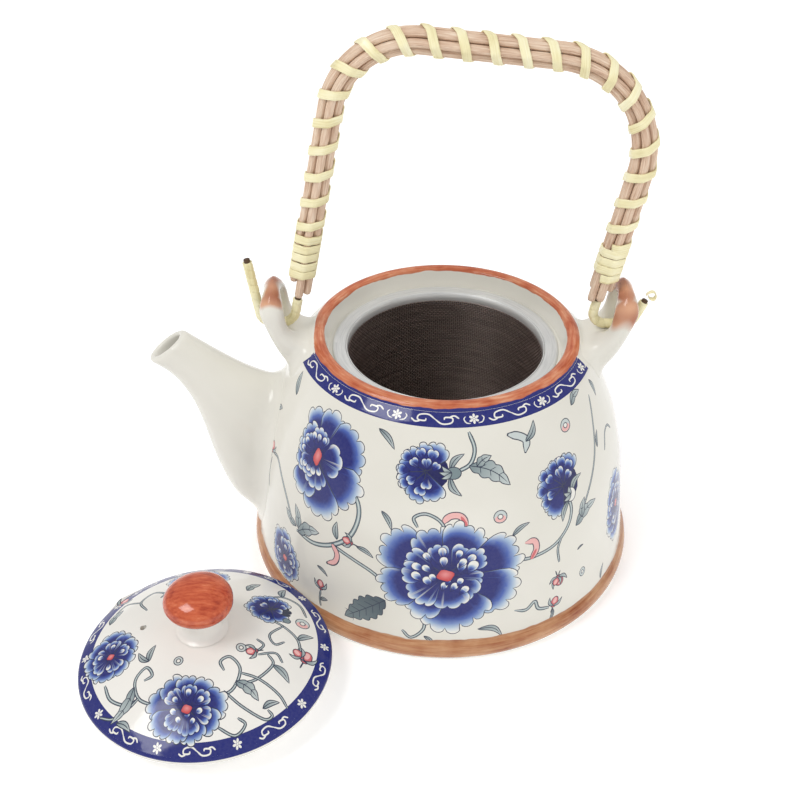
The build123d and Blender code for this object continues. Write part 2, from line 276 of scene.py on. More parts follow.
def knob_glaze():
    """The iron-brown glaze of the knob, brushed on along one direction."""
    skin = Skin("knob_glaze", Roughness=0.12, IOR=1.5)
    x, y, z = skin.split(skin.place)
    along = skin.vector(skin.math("MULTIPLY", x, 0.22), y, z)
    streaks = skin.noise(along, 0.9, 4.0, 0.6)
    patches = skin.noise(skin.place, 0.13, 3.0)
    mixed = skin.math("ADD", skin.math("MULTIPLY", streaks, 0.6), skin.math("MULTIPLY", patches, 0.4))
    colour = skin.ramp(
        mixed,
        (0.30, srgb(142, 44, 26)),
        (0.44, srgb(180, 74, 44)),
        (0.58, srgb(202, 98, 62)),
        (0.74, srgb(222, 138, 98)),
    )
    skin.set(skin.shader.inputs["Base Color"], colour)
    skin.set(skin.shader.inputs["Normal"], skin.bump(streaks, 0.02, 0.6))
    return skin


def cane_skin():
    """Peeled rattan: fibres along each cane, with flecks and paler and darker lengths."""
    skin = Skin("rattan_cane", Roughness=0.62)
    along = skin.attribute("along").outputs["Fac"]
    around = skin.attribute("around").outputs["Fac"]
    fibre_place = skin.vector(skin.math("MULTIPLY", along, 0.05 * MM), skin.math("MULTIPLY", around, MM), 0.0)
    fibres = skin.noise(fibre_place, 2.4, 4.0, 0.65)
    lengths = skin.noise(skin.place, 0.06, 2.0)
    colour = skin.ramp(
        skin.math("ADD", skin.math("MULTIPLY", fibres, 0.7), skin.math("MULTIPLY", lengths, 0.3)),
        (0.32, srgb(150, 112, 88)),
        (0.44, srgb(205, 172, 146)),
        (0.56, srgb(226, 202, 178)),
        (0.70, srgb(240, 224, 204)),
    )
    skin.set(skin.shader.inputs["Base Color"], colour)
    skin.set(skin.shader.inputs["Normal"], skin.bump(fibres, 0.18, 0.9))
    return skin


def strip_skin():
    """The smooth outer skin of rattan, split into flat strips."""
    skin = Skin("rattan_strip", Roughness=0.38)
    along = skin.attribute("along").outputs["Fac"]
    across = skin.attribute("around").outputs["Fac"]
    fibre_place = skin.vector(skin.math("MULTIPLY", along, 0.04 * MM), skin.math("MULTIPLY", across, MM), 0.0)
    fibres = skin.noise(fibre_place, 2.2, 4.0, 0.6)
    lengths = skin.noise(skin.place, 0.10, 2.0)
    colour = skin.ramp(
        skin.math("ADD", skin.math("MULTIPLY", fibres, 0.5), skin.math("MULTIPLY", lengths, 0.5)),
        (0.32, srgb(214, 200, 146)),
        (0.50, srgb(238, 229, 184)),
        (0.68, srgb(248, 243, 212)),
    )
    skin.set(skin.shader.inputs["Base Color"], colour)
    skin.set(skin.shader.inputs["Normal"], skin.bump(fibres, 0.08, 0.7))
    return skin


def steel(name, dark, light, roughness, grain, metallic=1.0):
    """Brushed stainless steel, with the brush marks round the axis."""
    skin = Skin(name, Metallic=metallic, Roughness=roughness)
    radius, turn, height = skin.round_place()
    brushed = skin.noise(skin.vector(skin.math("MULTIPLY", turn, 0.05), radius, height), grain, 4.0, 0.6)
    skin.set(skin.shader.inputs["Base Color"], skin.ramp(brushed, (0.3, dark), (0.7, light)))
    skin.set(skin.shader.inputs["Normal"], skin.bump(brushed, 0.02, 0.6))
    return skin


body_skin = glaze("body_glaze", edges=((90.9, 200.0, 0.10), (1.2, 8.4, 0.15)))
plain_skin = glaze("plain_glaze")
# The lid is the body's white glaze, painted lighter: painted light on the lid's upturned top.
lid_skin_painted_light = glaze("lid_glaze_painted_light", centre=LID_CENTRE, shades=(srgb(230, 227, 220), srgb(239, 236, 230)))
knob_skin = knob_glaze()
rattan = cane_skin()
strip = strip_skin()
flange_steel = steel("flange_steel", srgb(212, 213, 212), srgb(236, 236, 234), 0.42, 1.6, 0.5)
# The mesh and seam ring are the flange's stainless steel, painted darker and red-brown: painted shade of the
# pot's dark interior.
mesh_steel = steel("mesh_steel", srgb(140, 124, 118), srgb(190, 172, 166), 0.42, 1.2)
cut_end = Skin("cut_rattan_end", Base_Color=srgb(84, 62, 44), Roughness=0.8)

CAD_SKINS = {
    "pot_": body_skin,
    "spout": plain_skin,
    "lug": plain_skin,
    "cane": rattan,
    "binding": strip,
    "whipping": strip,
    "hook": strip,
    "strip": strip,
    "infuser_mesh": mesh_steel,
    "infuser_seam": mesh_steel,
    "infuser": flange_steel,
    "lid_shell": lid_skin_painted_light,
    "lid_knob": knob_skin,
}
for node_name, node in frame["nodes"].items():
    key = next(k for k in CAD_SKINS if node_name.startswith(k))
    node.data.materials.clear()
    node.data.materials.append(CAD_SKINS[key].material)

# ================================================================ stage, light, camera
floor_skin = Skin("floor_paper", Base_Color=srgb(252, 252, 252), Roughness=0.9,
                  Emission_Color=(1.0, 1.0, 1.0), Emission_Strength=0.24)
floor_mesh = bpy.data.meshes.new("floor")
FLOOR = 20      # metres from the middle to each side
floor_mesh.from_pydata([(-FLOOR, -FLOOR, 0), (FLOOR, -FLOOR, 0), (FLOOR, FLOOR, 0), (-FLOOR, FLOOR, 0)], [],
                       [(0, 1, 2, 3)])
floor_mesh.materials.append(floor_skin.material)
floor = bpy.data.objects.new("floor", floor_mesh)
bpy.context.scene.collection.objects.link(floor)

world = bpy.data.worlds.new("studio")
world.use_nodes = True
world.node_tree.nodes["Background"].inputs["Color"].default_value = (1.0, 1.0, 1.0, 1.0)
world.node_tree.nodes["Background"].inputs["Strength"].default_value = 0.56
bpy.context.scene.world = world
bpy.context.scene.view_settings.view_transform = "Standard"


def soft_light(name, place, aim, size, power, mirrored=True):
    """A square area light in metres, pointing at a place; glossy surfaces may not mirror it."""
    data = bpy.data.lights.new(name, "AREA")
    data.shape, data.size, data.energy = "SQUARE", size, power
    made = bpy.data.objects.new(name, data)
    made.location = place
    made.rotation_euler = (Vector(aim) - Vector(place)).to_track_quat("-Z", "Y").to_euler()
    made.visible_glossy = mirrored
    bpy.context.scene.collection.objects.link(made)


soft_light("key_softbox", (-0.55, -0.35, 0.95), (0, 0, 0.05), 0.45, 4.6)
soft_light("fill_softbox", (0.75, -0.45, 0.70), (0, 0, 0.05), 0.60, 2.5, False)
soft_light("back_softbox", (0.1, 0.9, 0.9), (0, 0, 0.05), 0.70, 2.8, False)

CAMERA_TARGET = (-16.09, 0.0, 60.40)
CAMERA_DISTANCE = 426.8
CAMERA_LENS = 51.75
CAMERA_ELEVATION = 0.6219     # radians above the horizon, looking along +Y
CAMERA_ROLL = 0.004
camera_data = bpy.data.cameras.new("camera")
camera_data.sensor_width = 36.0
camera_data.lens = CAMERA_LENS
camera = bpy.data.objects.new("camera", camera_data)
back = Vector((0, -math.cos(CAMERA_ELEVATION), math.sin(CAMERA_ELEVATION)))
right = Vector((math.cos(CAMERA_ROLL), 0, 0)) + math.sin(CAMERA_ROLL) * back.cross(Vector((1, 0, 0)))
up = back.cross(right)
camera.matrix_world = Matrix((
    (right.x, up.x, back.x, 0),
    (right.y, up.y, back.y, 0),
    (right.z, up.z, back.z, 0),
    (0, 0, 0, 1),
))
camera.location = (Vector(CAMERA_TARGET) + back * CAMERA_DISTANCE) * MM
bpy.context.scene.collection.objects.link(camera)
bpy.context.scene.camera = camera

# ================================================================ transfer print
INK = srgb(16, 26, 108)
INK_DEEP = srgb(8, 14, 82)
INK_MID = srgb(66, 94, 172)
INK_PALE = srgb(168, 190, 212)
WHITE = srgb(230, 228, 221)
LINE = srgb(40, 48, 70)
LINE_WIDTH = 0.30
GREY = srgb(118, 134, 138)
GREY_PALE = srgb(196, 204, 202)
PINK = srgb(206, 104, 108)
PINK_PALE = srgb(232, 178, 174)
RED = srgb(196, 62, 66)
BAND_BLUE = srgb(20, 30, 112)


class Print:
    """Painted outlines on a flattened surface. Later shapes cover earlier ones."""

    def __init__(self, flatten, seed):
        self.flatten = flatten      # spot -> (flat x, flat y, flat x per millimetre)
        self.chance = np.random.default_rng(seed)
        self.loops, self.tones, self.dots = [], [], []

    def shape(self, spot, outline, tone, dots=None):
        """Paint a closed outline, in millimetres right and up from the spot."""
        x, y, stretch = self.flatten(spot)
        for target, local in ((self.loops, outline), (self.dots, dots)):
            if local is not None and len(local):
                local = np.asarray(local, float)
                if target is self.loops and signed_area(local) < 0:
                    local = local[::-1]
                target.append(np.stack([x + local[:, 0] * stretch, y + local[:, 1]], -1))
        self.tones.append((x, y, stretch, tone))

    def lined(self, spot, outline, tone, dots=None):
        """The same with a dark line round it."""
        self.shape(spot, spread(outline, LINE_WIDTH / 2), LINE)
        self.shape(spot, spread(outline, -LINE_WIDTH / 2), tone, dots)

    def petal(self, spot, turn, length, half_angle, lobes, base=(0.0, 0.0), lined=True, pale=(0.76, 0.97),
              lobe=0.10):
        """A fan with a scalloped edge: deep blue at its base, fading to white at the edge."""
        turn, half_angle = math.radians(turn), math.radians(half_angle)
        count = max(lobes * 8, 10)
        s = np.linspace(0, 1, count + 1)
        heights = 1 + self.chance.uniform(-0.05, 0.05, lobes + 1)
        bulge = np.abs(np.sin(math.pi * s * lobes)) ** 0.5
        shoulder = 1 - 0.20 * np.abs(2 * s - 1) ** 2.8
        reach = length * shoulder * (1 - lobe / 2)
        radii = length * shoulder * (1 - lobe + lobe * bulge) * heights[np.minimum((s * lobes).astype(int),
                                                                                   lobes)]
        angles = turn + (2 * s - 1) * half_angle
        rim = np.stack([np.cos(angles), np.sin(angles)], -1)
        base = np.asarray(base, float)
        inner = base + 0.04 * length * rim[::count // 2 or 1]
        outline = np.vstack([base + radii[:, None] * rim, inner[::-1]])
        dots = np.vstack([base + (share * radii)[::3, None] * rim[::3]
                          for share in (0.3, 0.5, 0.64, 0.74, 0.84, 0.92)])

        def tone(x, y):
            dx, dy = x - base[0], y - base[1]
            swing = np.clip((np.angle(np.exp(1j * (np.arctan2(dy, dx) - turn))) / half_angle + 1) / 2, 0, 1)
            share = np.hypot(dx, dy) / np.interp(swing, s, reach)
            stops = [0, pale[0] * 0.5, pale[0], (pale[0] + pale[1]) / 2, pale[1], pale[1] + 0.07]
            colours = np.array([INK_DEEP, INK, INK, INK_MID, INK_PALE, WHITE])
            return np.stack([np.interp(share, stops, colours[:, c]) for c in range(3)], -1)

        if lined:
            self.lined(spot, outline, tone, dots)
        else:
            self.shape(spot, spread(outline, 0.22), INK_DEEP)
            self.shape(spot, outline, tone, dots)

    def stroke(self, spot, line, width, colour, ends=(0.3, 0.3), smooth=6):
        """A brush line through points right and up from the spot, with a share of the width at each end."""
        middle = smooth_line(line, smooth)
        along = np.linspace(0, 1, len(middle))
        taper = np.minimum(1, np.minimum(ends[0] + along / 0.25, ends[1] + (1 - along) / 0.25))
        direction = np.gradient(middle, axis=0)
        side = np.stack([-direction[:, 1], direction[:, 0]], -1) / np.hypot(*direction.T)[:, None]
        half = (width / 2 * taper)[:, None] * side
        self.shape(spot, np.vstack([middle + half, (middle - half)[::-1]]), colour)

    def vine(self, spot, line, width, ends=(0.6, 0.6)):
        """A stem: dark edges and a lighter middle."""
        self.stroke(spot, line, width, LINE, ends)
        self.stroke(spot, line, width - 0.55, GREY, ends)
        self.stroke(spot, line, (width - 0.55) * 0.45, GREY_PALE, ends)

    def leaf(self, spot, base, tip, width, bend, teeth=0, colours=(GREY, GREY_PALE), veins=True):
        """A pointed leaf from base to tip; teeth make its edge lobed."""
        base, tip = np.asarray(base, float), np.asarray(tip, float)
        along = tip - base
        length = np.hypot(*along)
        along = along / length
        side = np.array([-along[1], along[0]])
        s = np.linspace(0, 1, 8 + 5 * max(teeth, 1))
        half = width / 2 * np.sin(math.pi * s ** 0.8) ** 0.9
        if teeth:
            half = half * (0.78 + 0.30 * np.abs(np.sin(math.pi * s * teeth)))
        middle = base + s[:, None] * length * along + (bend * length * np.sin(math.pi * s))[:, None] * side
        edge = np.vstack([middle + half[:, None] * side, (middle - half[:, None] * side)[-2:0:-1]])

        def tone(x, y):
            share = np.clip(((x - base[0]) * along[0] + (y - base[1]) * along[1]) / length, 0, 1)
            return np.outer(1 - share, colours[0]) + np.outer(share, colours[1])

        self.lined(spot, edge, tone, middle[2:-2:2])
        if veins:
            self.stroke(spot, middle[:-2], 0.28, LINE, (1.0, 0.2), 2)
            for index in range(1, teeth):
                root = middle[int(len(middle) * index / (teeth + 0.5))]
                for hand in (-1, 1):
                    reach = along * width * 0.22 + hand * side * width * 0.30
                    self.stroke(spot, [root, root + reach * 0.5, root + reach], 0.22, LINE, (1.0, 0.2), 2)

    def oval(self, spot, centre, half_width, half_height, tone, turn=0.0, lined=True, count=14):
        angles = np.arange(count) * TAU / count
        x, y = half_width * np.cos(angles), half_height * np.sin(angles)
        turn = math.radians(turn)
        outline = np.stack([centre[0] + x * math.cos(turn) - y * math.sin(turn),
                            centre[1] + x * math.sin(turn) + y * math.cos(turn)], -1)
        (self.lined if lined else self.shape)(spot, outline, tone)

    def bead(self, spot):
        """A small ring, pink below."""
        self.oval(spot, (0, 0), 2.3, 2.3, GREY_PALE, count=18)
        self.oval(spot, (0, -0.7), 1.9, 1.3, PINK_PALE, lined=False)
        self.oval(spot, (0, 0), 0.9, 0.9, WHITE)

    def bud(self, spot, turn, size):
        """A small red bud with two sepals."""
        out = np.array(polar(1, turn))
        side = np.array([-out[1], out[0]])
        self.stroke(spot, [-out * 2.2 * size, out * 0.2], 0.5, LINE)
        self.oval(spot, out * 1.2 * size, 1.7 * size, 1.25 * size, PINK, turn)
        self.oval(spot, out * 1.7 * size, 0.9 * size, 0.6 * size, PINK_PALE, turn, lined=False)
        for hand in (-1, 1):
            self.leaf(spot, (0, 0), out * 2.6 * size + hand * side * 2.2 * size, 0.9 * size, hand * 0.2,
                      veins=False)

    def heart(self, spot, centre, half_width, half_height):
        """The pink-red middle of a peony."""
        cx, cy = centre

        def tone(x, y):
            share = np.clip(np.hypot((x - cx) / half_width, (y - cy - 0.2 * half_height) / half_height), 0, 1)
            return np.outer(1 - share, srgb(222, 140, 140)) + np.outer(share, RED)

        self.oval(spot, centre, half_width + 0.4, half_height + 0.4, INK_DEEP, lined=False)
        angles = np.arange(18) * TAU / 18
        wave = 1 + 0.10 * np.sin(4 * angles)
        outline = np.stack([cx + half_width * wave * np.cos(angles),
                            cy + half_height * wave * np.sin(angles)], -1)
        self.shape(spot, outline, tone, [(cx, cy)])

    def ring(self, spot, half_width, half_height, hole):
        """A grey ring with a white hole."""
        self.oval(spot, (0, 0), half_width, half_height, GREY_PALE)
        self.oval(spot, (0, 0), *hole, WHITE)

    def closed_flower(self, spot, heart, outer, inner, base=(0.0, 0.0)):
        """A flower seen from the side: a dark heart, a fan of outer petals and small inner ones."""
        self.oval(spot, base, *heart, INK_DEEP, lined=False)
        for turn, length, half_angle, lobes in outer:
            self.petal(spot, turn, length, half_angle, lobes, base, pale=(0.72, 0.97))
        for x, y, turn, length in inner:
            self.petal(spot, turn, length, 34, 2, (x, y), False, (0.58, 0.95), 0.14)

    def calyx(self, spot, turns, base, height, reach, width):
        """Short sepals that fan out from a base point."""
        for turn in turns:
            across, rise = polar(1, turn)
            self.leaf(spot, base, (reach * across, height + 3.4 * rise), width, 0.1, veins=False)

    def peony(self, spot, outer, middle, beads, heart):
        """Outer petals, a cup of middle petals, bead-tipped petals and a pink heart."""
        for turn, length, half_angle, lobes in outer:
            self.petal(spot, turn, length, half_angle * 1.18, lobes)
        for turn, length, half_angle, lobes, away in middle:
            base = polar(away, turn)
            self.petal(spot, turn, length, half_angle * 1.15, lobes, base, False, (0.74, 0.98), 0.12)
        for x, y, turn, length in beads:
            self.petal(spot, turn, length * 1.1, 27, 1, (x, y), False, (0.42, 0.80), 0.24)
        if heart:
            self.heart(spot, (0, 0), heart[0], heart[1])

    def small_flower(self, spot, radius):
        """A white flower of the border bands."""
        for turn in range(90, 450, 60):
            away = radius * 0.62
            self.oval(spot, polar(away, turn), radius * 0.42, radius * 0.25, WHITE, turn, lined=False,
                      count=8)
        self.oval(spot, (0, 0), radius * 0.22, radius * 0.22, WHITE, lined=False, count=6)

    def scroll(self, spot, width, height, thick, turn=0.0):
        """An S-shaped scroll with two curled ends, as on the border bands."""
        w, h = width / 2, height / 2
        right = [(0, 0), (w * 0.30, -h * 0.75), (w * 0.68, -h * 0.55), (w * 0.72, h * 0.25),
                 (w * 0.42, h * 0.35),
                 (w * 0.38, -h * 0.05)]
        tail = [(w * 0.62, h * 0.45), (w * 0.82, h * 0.62), (w, h * 0.15)]
        cos, sin = math.cos(math.radians(turn)), math.sin(math.radians(turn))
        for line in (right, tail):
            for hand in (-1, 1):
                p = [(hand * x * cos - hand * y * sin, hand * x * sin + hand * y * cos) for x, y in line]
                self.stroke(spot, p, thick, WHITE, (0.6, 0.6), 4)

    def mesh(self, border, free, holes=()):
        """Triangles inside the border, cut along every outline: points, triangles and corner colours."""
        rings = [np.asarray(border)] + list(self.loops) + [np.asarray(h) for h in holes]
        coords = np.vstack(rings + list(self.dots) + [free])
        starts = np.cumsum([0] + [len(r) for r in rings])
        faces = [list(range(a, b)) for a, b in zip(starts, starts[1:])]
        points, _, triangles, _, _, owners = delaunay_2d_cdt([Vector(c) for c in coords.tolist()], [], faces,
                                                             1, 1e-3, True)
        points = np.array([tuple(p) for p in points])
        triangles = np.array(triangles)
        top = np.array([max(o) if o else 0 for o in owners])
        keep = top <= len(self.loops)
        triangles, top = triangles[keep], top[keep]
        colours = np.zeros((len(triangles), 3, 4))
        for number, (x, y, stretch, tone) in enumerate(self.tones, 1):
            chosen = top == number
            if chosen.any():
                corners = points[triangles[chosen]].reshape(-1, 2)
                if callable(tone):
                    found = tone((corners[:, 0] - x) / stretch, corners[:, 1] - y)
                else:
                    found = np.broadcast_to(tone, (len(corners), 3))
                colours[chosen] = np.dstack([found.reshape(-1, 3, 3), np.ones((chosen.sum(), 3, 1))])
        return points, triangles, colours


def polar(reach, turn):
    """Right and up, for a reach and a turn in degrees."""
    return reach * math.cos(math.radians(turn)), reach * math.sin(math.radians(turn))


def signed_area(outline):
    """Twice the area of a flat outline, above zero where it runs anticlockwise."""
    p = np.asarray(outline, float)
    return np.sum(p[:, 0] * np.roll(p[:, 1], -1) - np.roll(p[:, 0], -1) * p[:, 1])


def spread(outline, distance):
    """The outline moved outwards by a distance along its corner normals."""
    p = np.asarray(outline, float)
    tangent = np.roll(p, -1, 0) - np.roll(p, 1, 0)
    normal = np.stack([tangent[:, 1], -tangent[:, 0]], -1) * math.copysign(1, signed_area(p))
    return p + distance * normal / np.maximum(np.hypot(*normal.T), 1e-9)[:, None]


def painted_piece(name, parts, body, slot, skin, replaces):
    """One mesh from (points, faces, normals, corner colours or None), welded where points coincide."""
    points = np.concatenate([p[0] for p in parts])
    normals = np.concatenate([p[2] for p in parts])
    _, first, index = np.unique(np.round(points, 3), axis=0, return_index=True, return_inverse=True)
    index = index.ravel()
    faces, colours, start = [], [], 0
    for part_points, part_faces, _, part_colours in parts:
        for number, face in enumerate(part_faces):
            corners = [int(index[start + v]) for v in face]
            if len(set(corners)) < len(corners):
                continue
            faces.append(corners)
            colours.append(np.zeros((len(corners), 4)) if part_colours is None else part_colours[number])
        start += len(part_points)
    made = piece(name, points[first], faces, body, slot, skin, replaces)
    paint = made.data.color_attributes.new("paint", "FLOAT_COLOR", "CORNER")
    paint.data.foreach_set("color", np.concatenate(colours).astype(np.float32).ravel())
    made.data.normals_split_custom_set_from_vertices(normals[first].tolist())
    return made


def profile_normals(profile):
    """Unit normals (out, up) of a (radius, height) line that runs upwards on the outside."""
    direction = np.gradient(profile, axis=0)
    normal = np.stack([direction[:, 1], -direction[:, 0]], -1)
    return normal / np.maximum(np.hypot(*normal.T), 1e-9)[:, None]


def turned(profile, segments, centre=(0.0, 0.0), start=0.0):
    """An open (radius, height) line turned round a vertical axis, with its normals."""
    profile = np.asarray(profile, float)
    normal = profile_normals(profile)
    angles = start + np.arange(segments) * TAU / segments
    cos, sin = np.cos(angles), np.sin(angles)
    points = np.stack([centre[0] + profile[:, :1] * cos, centre[1] + profile[:, :1] * sin,
                       np.broadcast_to(profile[:, 1:], (len(profile), segments))], -1)
    normals = np.stack([normal[:, :1] * cos, normal[:, :1] * sin,
                        np.broadcast_to(normal[:, 1:], (len(profile), segments))], -1)
    return points.reshape(-1, 3), grid_faces(len(profile), segments).tolist(), normals.reshape(-1, 3), None


def arc(start, through, end, count):
    """Points of a circular arc through three (radius, height) points."""
    (ax, ay), (bx, by), (cx, cy) = start, through, end
    d = 2 * (ax * (by - cy) + bx * (cy - ay) + cx * (ay - by))
    ux = ((ax**2 + ay**2) * (by - cy) + (bx**2 + by**2) * (cy - ay) + (cx**2 + cy**2) * (ay - by)) / d
    uy = ((ax**2 + ay**2) * (cx - bx) + (bx**2 + by**2) * (ax - cx) + (cx**2 + cy**2) * (bx - ax)) / d
    radius = math.hypot(ax - ux, ay - uy)
    turns = [math.atan2(y - uy, x - ux) for x, y in (start, through, end)]
    sweep = (turns[2] - turns[0]) % TAU
    if (turns[1] - turns[0]) % TAU > sweep:
        sweep -= TAU
    angles = turns[0] + np.linspace(0, sweep, count + 1)
    return np.stack([ux + radius * np.cos(angles), uy + radius * np.sin(angles)], -1)


# ================================================================ pot body
FLAT_RADIUS = 66.0            # the wall is flattened at this radius
SEGMENTS = 240
SEAM = math.radians(-248.2)    # no outline crosses the wall here
WALL_LINE = np.vstack([smooth_line(BODY_PROFILE, 8), np.linspace((52.0, 86.5), (48.0, 90.0), 5)[1:]])
WALL_LENGTH = np.r_[0, np.cumsum(np.hypot(*np.diff(WALL_LINE, axis=0).T))]


def wall_spot(spot):
    """Flat coordinates of an (angle in degrees, height) place on the pot's wall."""
    angle, height = spot
    length = np.interp(height, WALL_LINE[:, 1], WALL_LENGTH)
    radius = np.interp(height, WALL_LINE[:, 1], WALL_LINE[:, 0])
    return math.radians(angle) * FLAT_RADIUS, length, FLAT_RADIUS / radius


BAND_RADIUS = 52.0            # the wall's radius below the rim
pot_print = Print(wall_spot, 7)

# Blue band below the rim, from lug to lug across the front.
band_left, band_right = -164.0, -19.5
band_angles = np.linspace(band_left, band_right, 60)
BAND_SPOT = (-90.0, 86.6)
BAND_HEIGHT = 5.1
MOTIF_HEIGHT = 88.4
band_edge = [math.radians(a + 90) * BAND_RADIUS for a in band_angles]
pot_print.shape(BAND_SPOT, [(x, 0.0) for x in band_edge] + [(x, BAND_HEIGHT) for x in band_edge[::-1]],
                BAND_BLUE)
for angle in (-139, -110, -81, -52, -22.5):
    pot_print.small_flower((angle, MOTIF_HEIGHT), 1.7)
    for hand in (-1, 1):
        bracket = [(hand * 1.2, -1.5), (hand * 2.6, -1.2), (hand * 3.3, 0.1), (hand * 2.7, 0.9)]
        pot_print.stroke((angle, MOTIF_HEIGHT), bracket, 0.38, WHITE, smooth=3)
for angle in (-153.5, -124.5, -95.5, -66.5, -37.5):
    pot_print.scroll((angle, MOTIF_HEIGHT), 15.5, 3.9, 0.50)

# Stems and vines, painted before the flowers they carry.
spot = (-124.0, 50.0)
pot_print.vine(spot, [(-2.5, 13.5), (5.2, 10.5), (7.6, 4.0), (5.0, -5.0), (-1.5, -11.5), (-10.0, -15.5),
                      (-19.0, -15.5)], 1.9)
pot_print.vine(spot, [(-2.0, -11.5), (7.0, -14.0), (14.5, -17.0), (21.0, -22.5)], 1.5)
pot_print.vine((-150.0, 40.0), [(9.0, -5.0), (4.0, 3.0), (-3.0, 10.0), (-8.0, 13.5), (-13.5, 12.5)], 1.2)
pot_print.leaf((-140.0, 36.0), (0, -1.5), (11.0, 4.2), 5.0, 0.1, 3)
pot_print.leaf((-140.0, 36.0), (0, 0), (-2.5, 9.0), 3.4, -0.1, 2)
pot_print.leaf((-140.0, 36.0), (-1, 0), (-8.0, 4.0), 2.8, 0.1, 2)
pot_print.leaf((-124.0, 42.5), (0, -1), (-0.6, 6.0), 2.4, 0.1)
pot_print.stroke((-125.5, 35.5), [(0, 3.5), (2.2, 0), (1.4, -3.8), (-2.2, -6.0)], 2.4, LINE, (0.5, 0.3))
pot_print.stroke((-125.5, 35.5), [(0, 3.2), (2.2, 0), (1.4, -3.6), (-1.6, -5.6)], 1.7, PINK_PALE, (0.5, 0.3))
pot_print.bud((-119.0, 42.6), 172, 1.25)
pot_print.leaf((-116.0, 42.0), (-1.5, 0), (5.0, -2.5), 1.8, 0.1)
for angle, height, turn, length in ((-112.0, 81.0, -42, 8.5), (-108.5, 55.0, -58, 7.5),
                                    (-128.7, 25.0, -25, 5.5),
                                    (-30.5, 66.5, 62, 6.0), (-68.0, 51.0, 28, 7.5), (-34.0, 12.0, 70, 6.5),
                                    (-22.5, 81.0, -80, 7.5), (-46.0, 32.5, 10, 3.2), (-171.0, 49.0, -70, 6.0),
                                    (-176.0, 20.0, 50, 6.0)):
    x, y = polar(length / 2, turn)
    pot_print.leaf((angle, height), (-x, -y), (x, y), length * 0.24, 0.10)
pot_print.leaf((-159.5, 81.0), (1.2, -4.0), (-1.0, 4.5), 3.0, 0.1)
pot_print.leaf((-36.0, 84.0), (-3.4, -1.0), (3.4, 1.4), 3.2, 0.18, 2)
for spot in ((-45.2, 78.6), (-74.4, 57.3)):
    pot_print.bead(spot)
pot_print.ring((-45.0, 20.8), 1.5, 1.9, (0.6, 0.8))

# Bud hanging from the band, with its leaf.
spot = (-85.0, 76.0)
pot_print.vine(spot, [(1.6, 10.2), (3.4, 4.5), (1.8, -0.5), (-2.5, -3.0)], 1.5)
pot_print.leaf((-83.0, 75.0), (-0.5, 0), (12.5, -8.5), 6.0, 0.12, 4)
pot_print.leaf((-83.0, 75.0), (2.0, -0.5), (7.0, 2.6), 3.2, 0.12, 2)
pot_print.closed_flower(
    (-97.5, 73.0), (7.6, 7.0),
    outer=[(62, 10.5, 30, 3), (100, 9.6, 28, 3), (140, 9.8, 28, 3), (180, 10.0, 28, 3), (215, 10.0, 28, 3),
           (255, 11.2, 30, 4), (290, 10.5, 28, 3)],
    inner=[(-4.5, 3.2, 150, 4.4), (-5.2, -0.4, 175, 4.4), (-4.4, -3.6, 205, 4.2), (-1.5, 3.6, 105, 4.2),
           (-0.5, -4.0, 250, 4.4), (1.5, 3.0, 80, 4.6), (-2.6, 1.0, 130, 3.8), (-2.8, -2.0, 215, 3.8),
           (0.2, 0.6, 95, 4.0), (0.6, -1.8, 265, 4.2), (2.2, 0.2, 60, 3.4)],
)
spot = (-89.8, 73.0)
pot_print.leaf(spot, (0, 1.0), (4.8, 6.2), 2.2, 0.15)
pot_print.leaf(spot, (0, -1.5), (3.8, -8.0), 2.2, -0.15)
pot_print.oval(spot, (1.2, -0.2), 2.5, 2.1, GREY)
pot_print.calyx(spot, (140, 180, 220), (0.6, -0.2), 0.0, 3.6, 1.5)

# Bud on the right with its long stem.
spot = (-50.0, 50.0)
pot_print.vine(spot, [(-0.6, 6.5), (0.6, 0.5), (-1.8, -5.5), (-8.0, -10.2), (-17.0, -11.5), (-22.0, -10.6)],
               1.5)
pot_print.vine(spot, [(-4.6, -8.4), (-6.2, -12.5), (-5.6, -18.5)], 1.1)
pot_print.vine((-38.0, 60.0), [(-10.5, -16.5), (-4.0, -8.5), (2.0, 0.0), (7.0, 9.0), (10.5, 18.0),
                               (12.0, 22.5)], 1.0)
pot_print.vine((-25.0, 62.0), [(-3.0, -2.0), (0.5, 3.0), (4.5, 3.8), (7.0, 1.0)], 0.9)
pot_print.leaf((-48.0, 43.0), (0, 0), (12.0, 4.5), 4.6, 0.12, 3)
pot_print.leaf((-48.0, 43.0), (3.5, 1.8), (5.5, 9.0), 3.2, 0.1, 2)
pot_print.closed_flower(
    (-52.5, 61.5), (7.0, 7.4),
    outer=[(60, 11.8, 27, 3), (95, 11.0, 27, 3), (128, 10.8, 27, 3), (162, 10.8, 28, 3), (198, 10.4, 28, 3),
           (235, 11.6, 28, 4)],
    inner=[(-4.6, 3.6, 140, 4.6), (-5.6, -0.2, 170, 4.6), (-4.6, -3.6, 205, 4.4), (-1.2, 4.8, 110, 4.6),
           (1.6, 4.4, 85, 5.0), (3.4, 3.0, 55, 4.6), (-2.8, 1.6, 130, 4.0), (-2.4, -1.8, 190, 4.0),
           (0.4, 1.6, 95, 4.6), (2.4, 0.2, 50, 4.0)],
    base=(1.0, -1.0),
)
spot = (-49.0, 55.5)
pot_print.leaf(spot, (0, 1.0), (6.4, 5.8), 2.4, 0.2)
pot_print.leaf(spot, (-1.5, -1.0), (-4.8, -8.0), 2.2, -0.12)
pot_print.oval(spot, (0.0, 0.6), 2.2, 2.6, WHITE)
pot_print.calyx(spot, (100, 150, 200), (0, 0.6), 0.6, 3.8, 1.6)

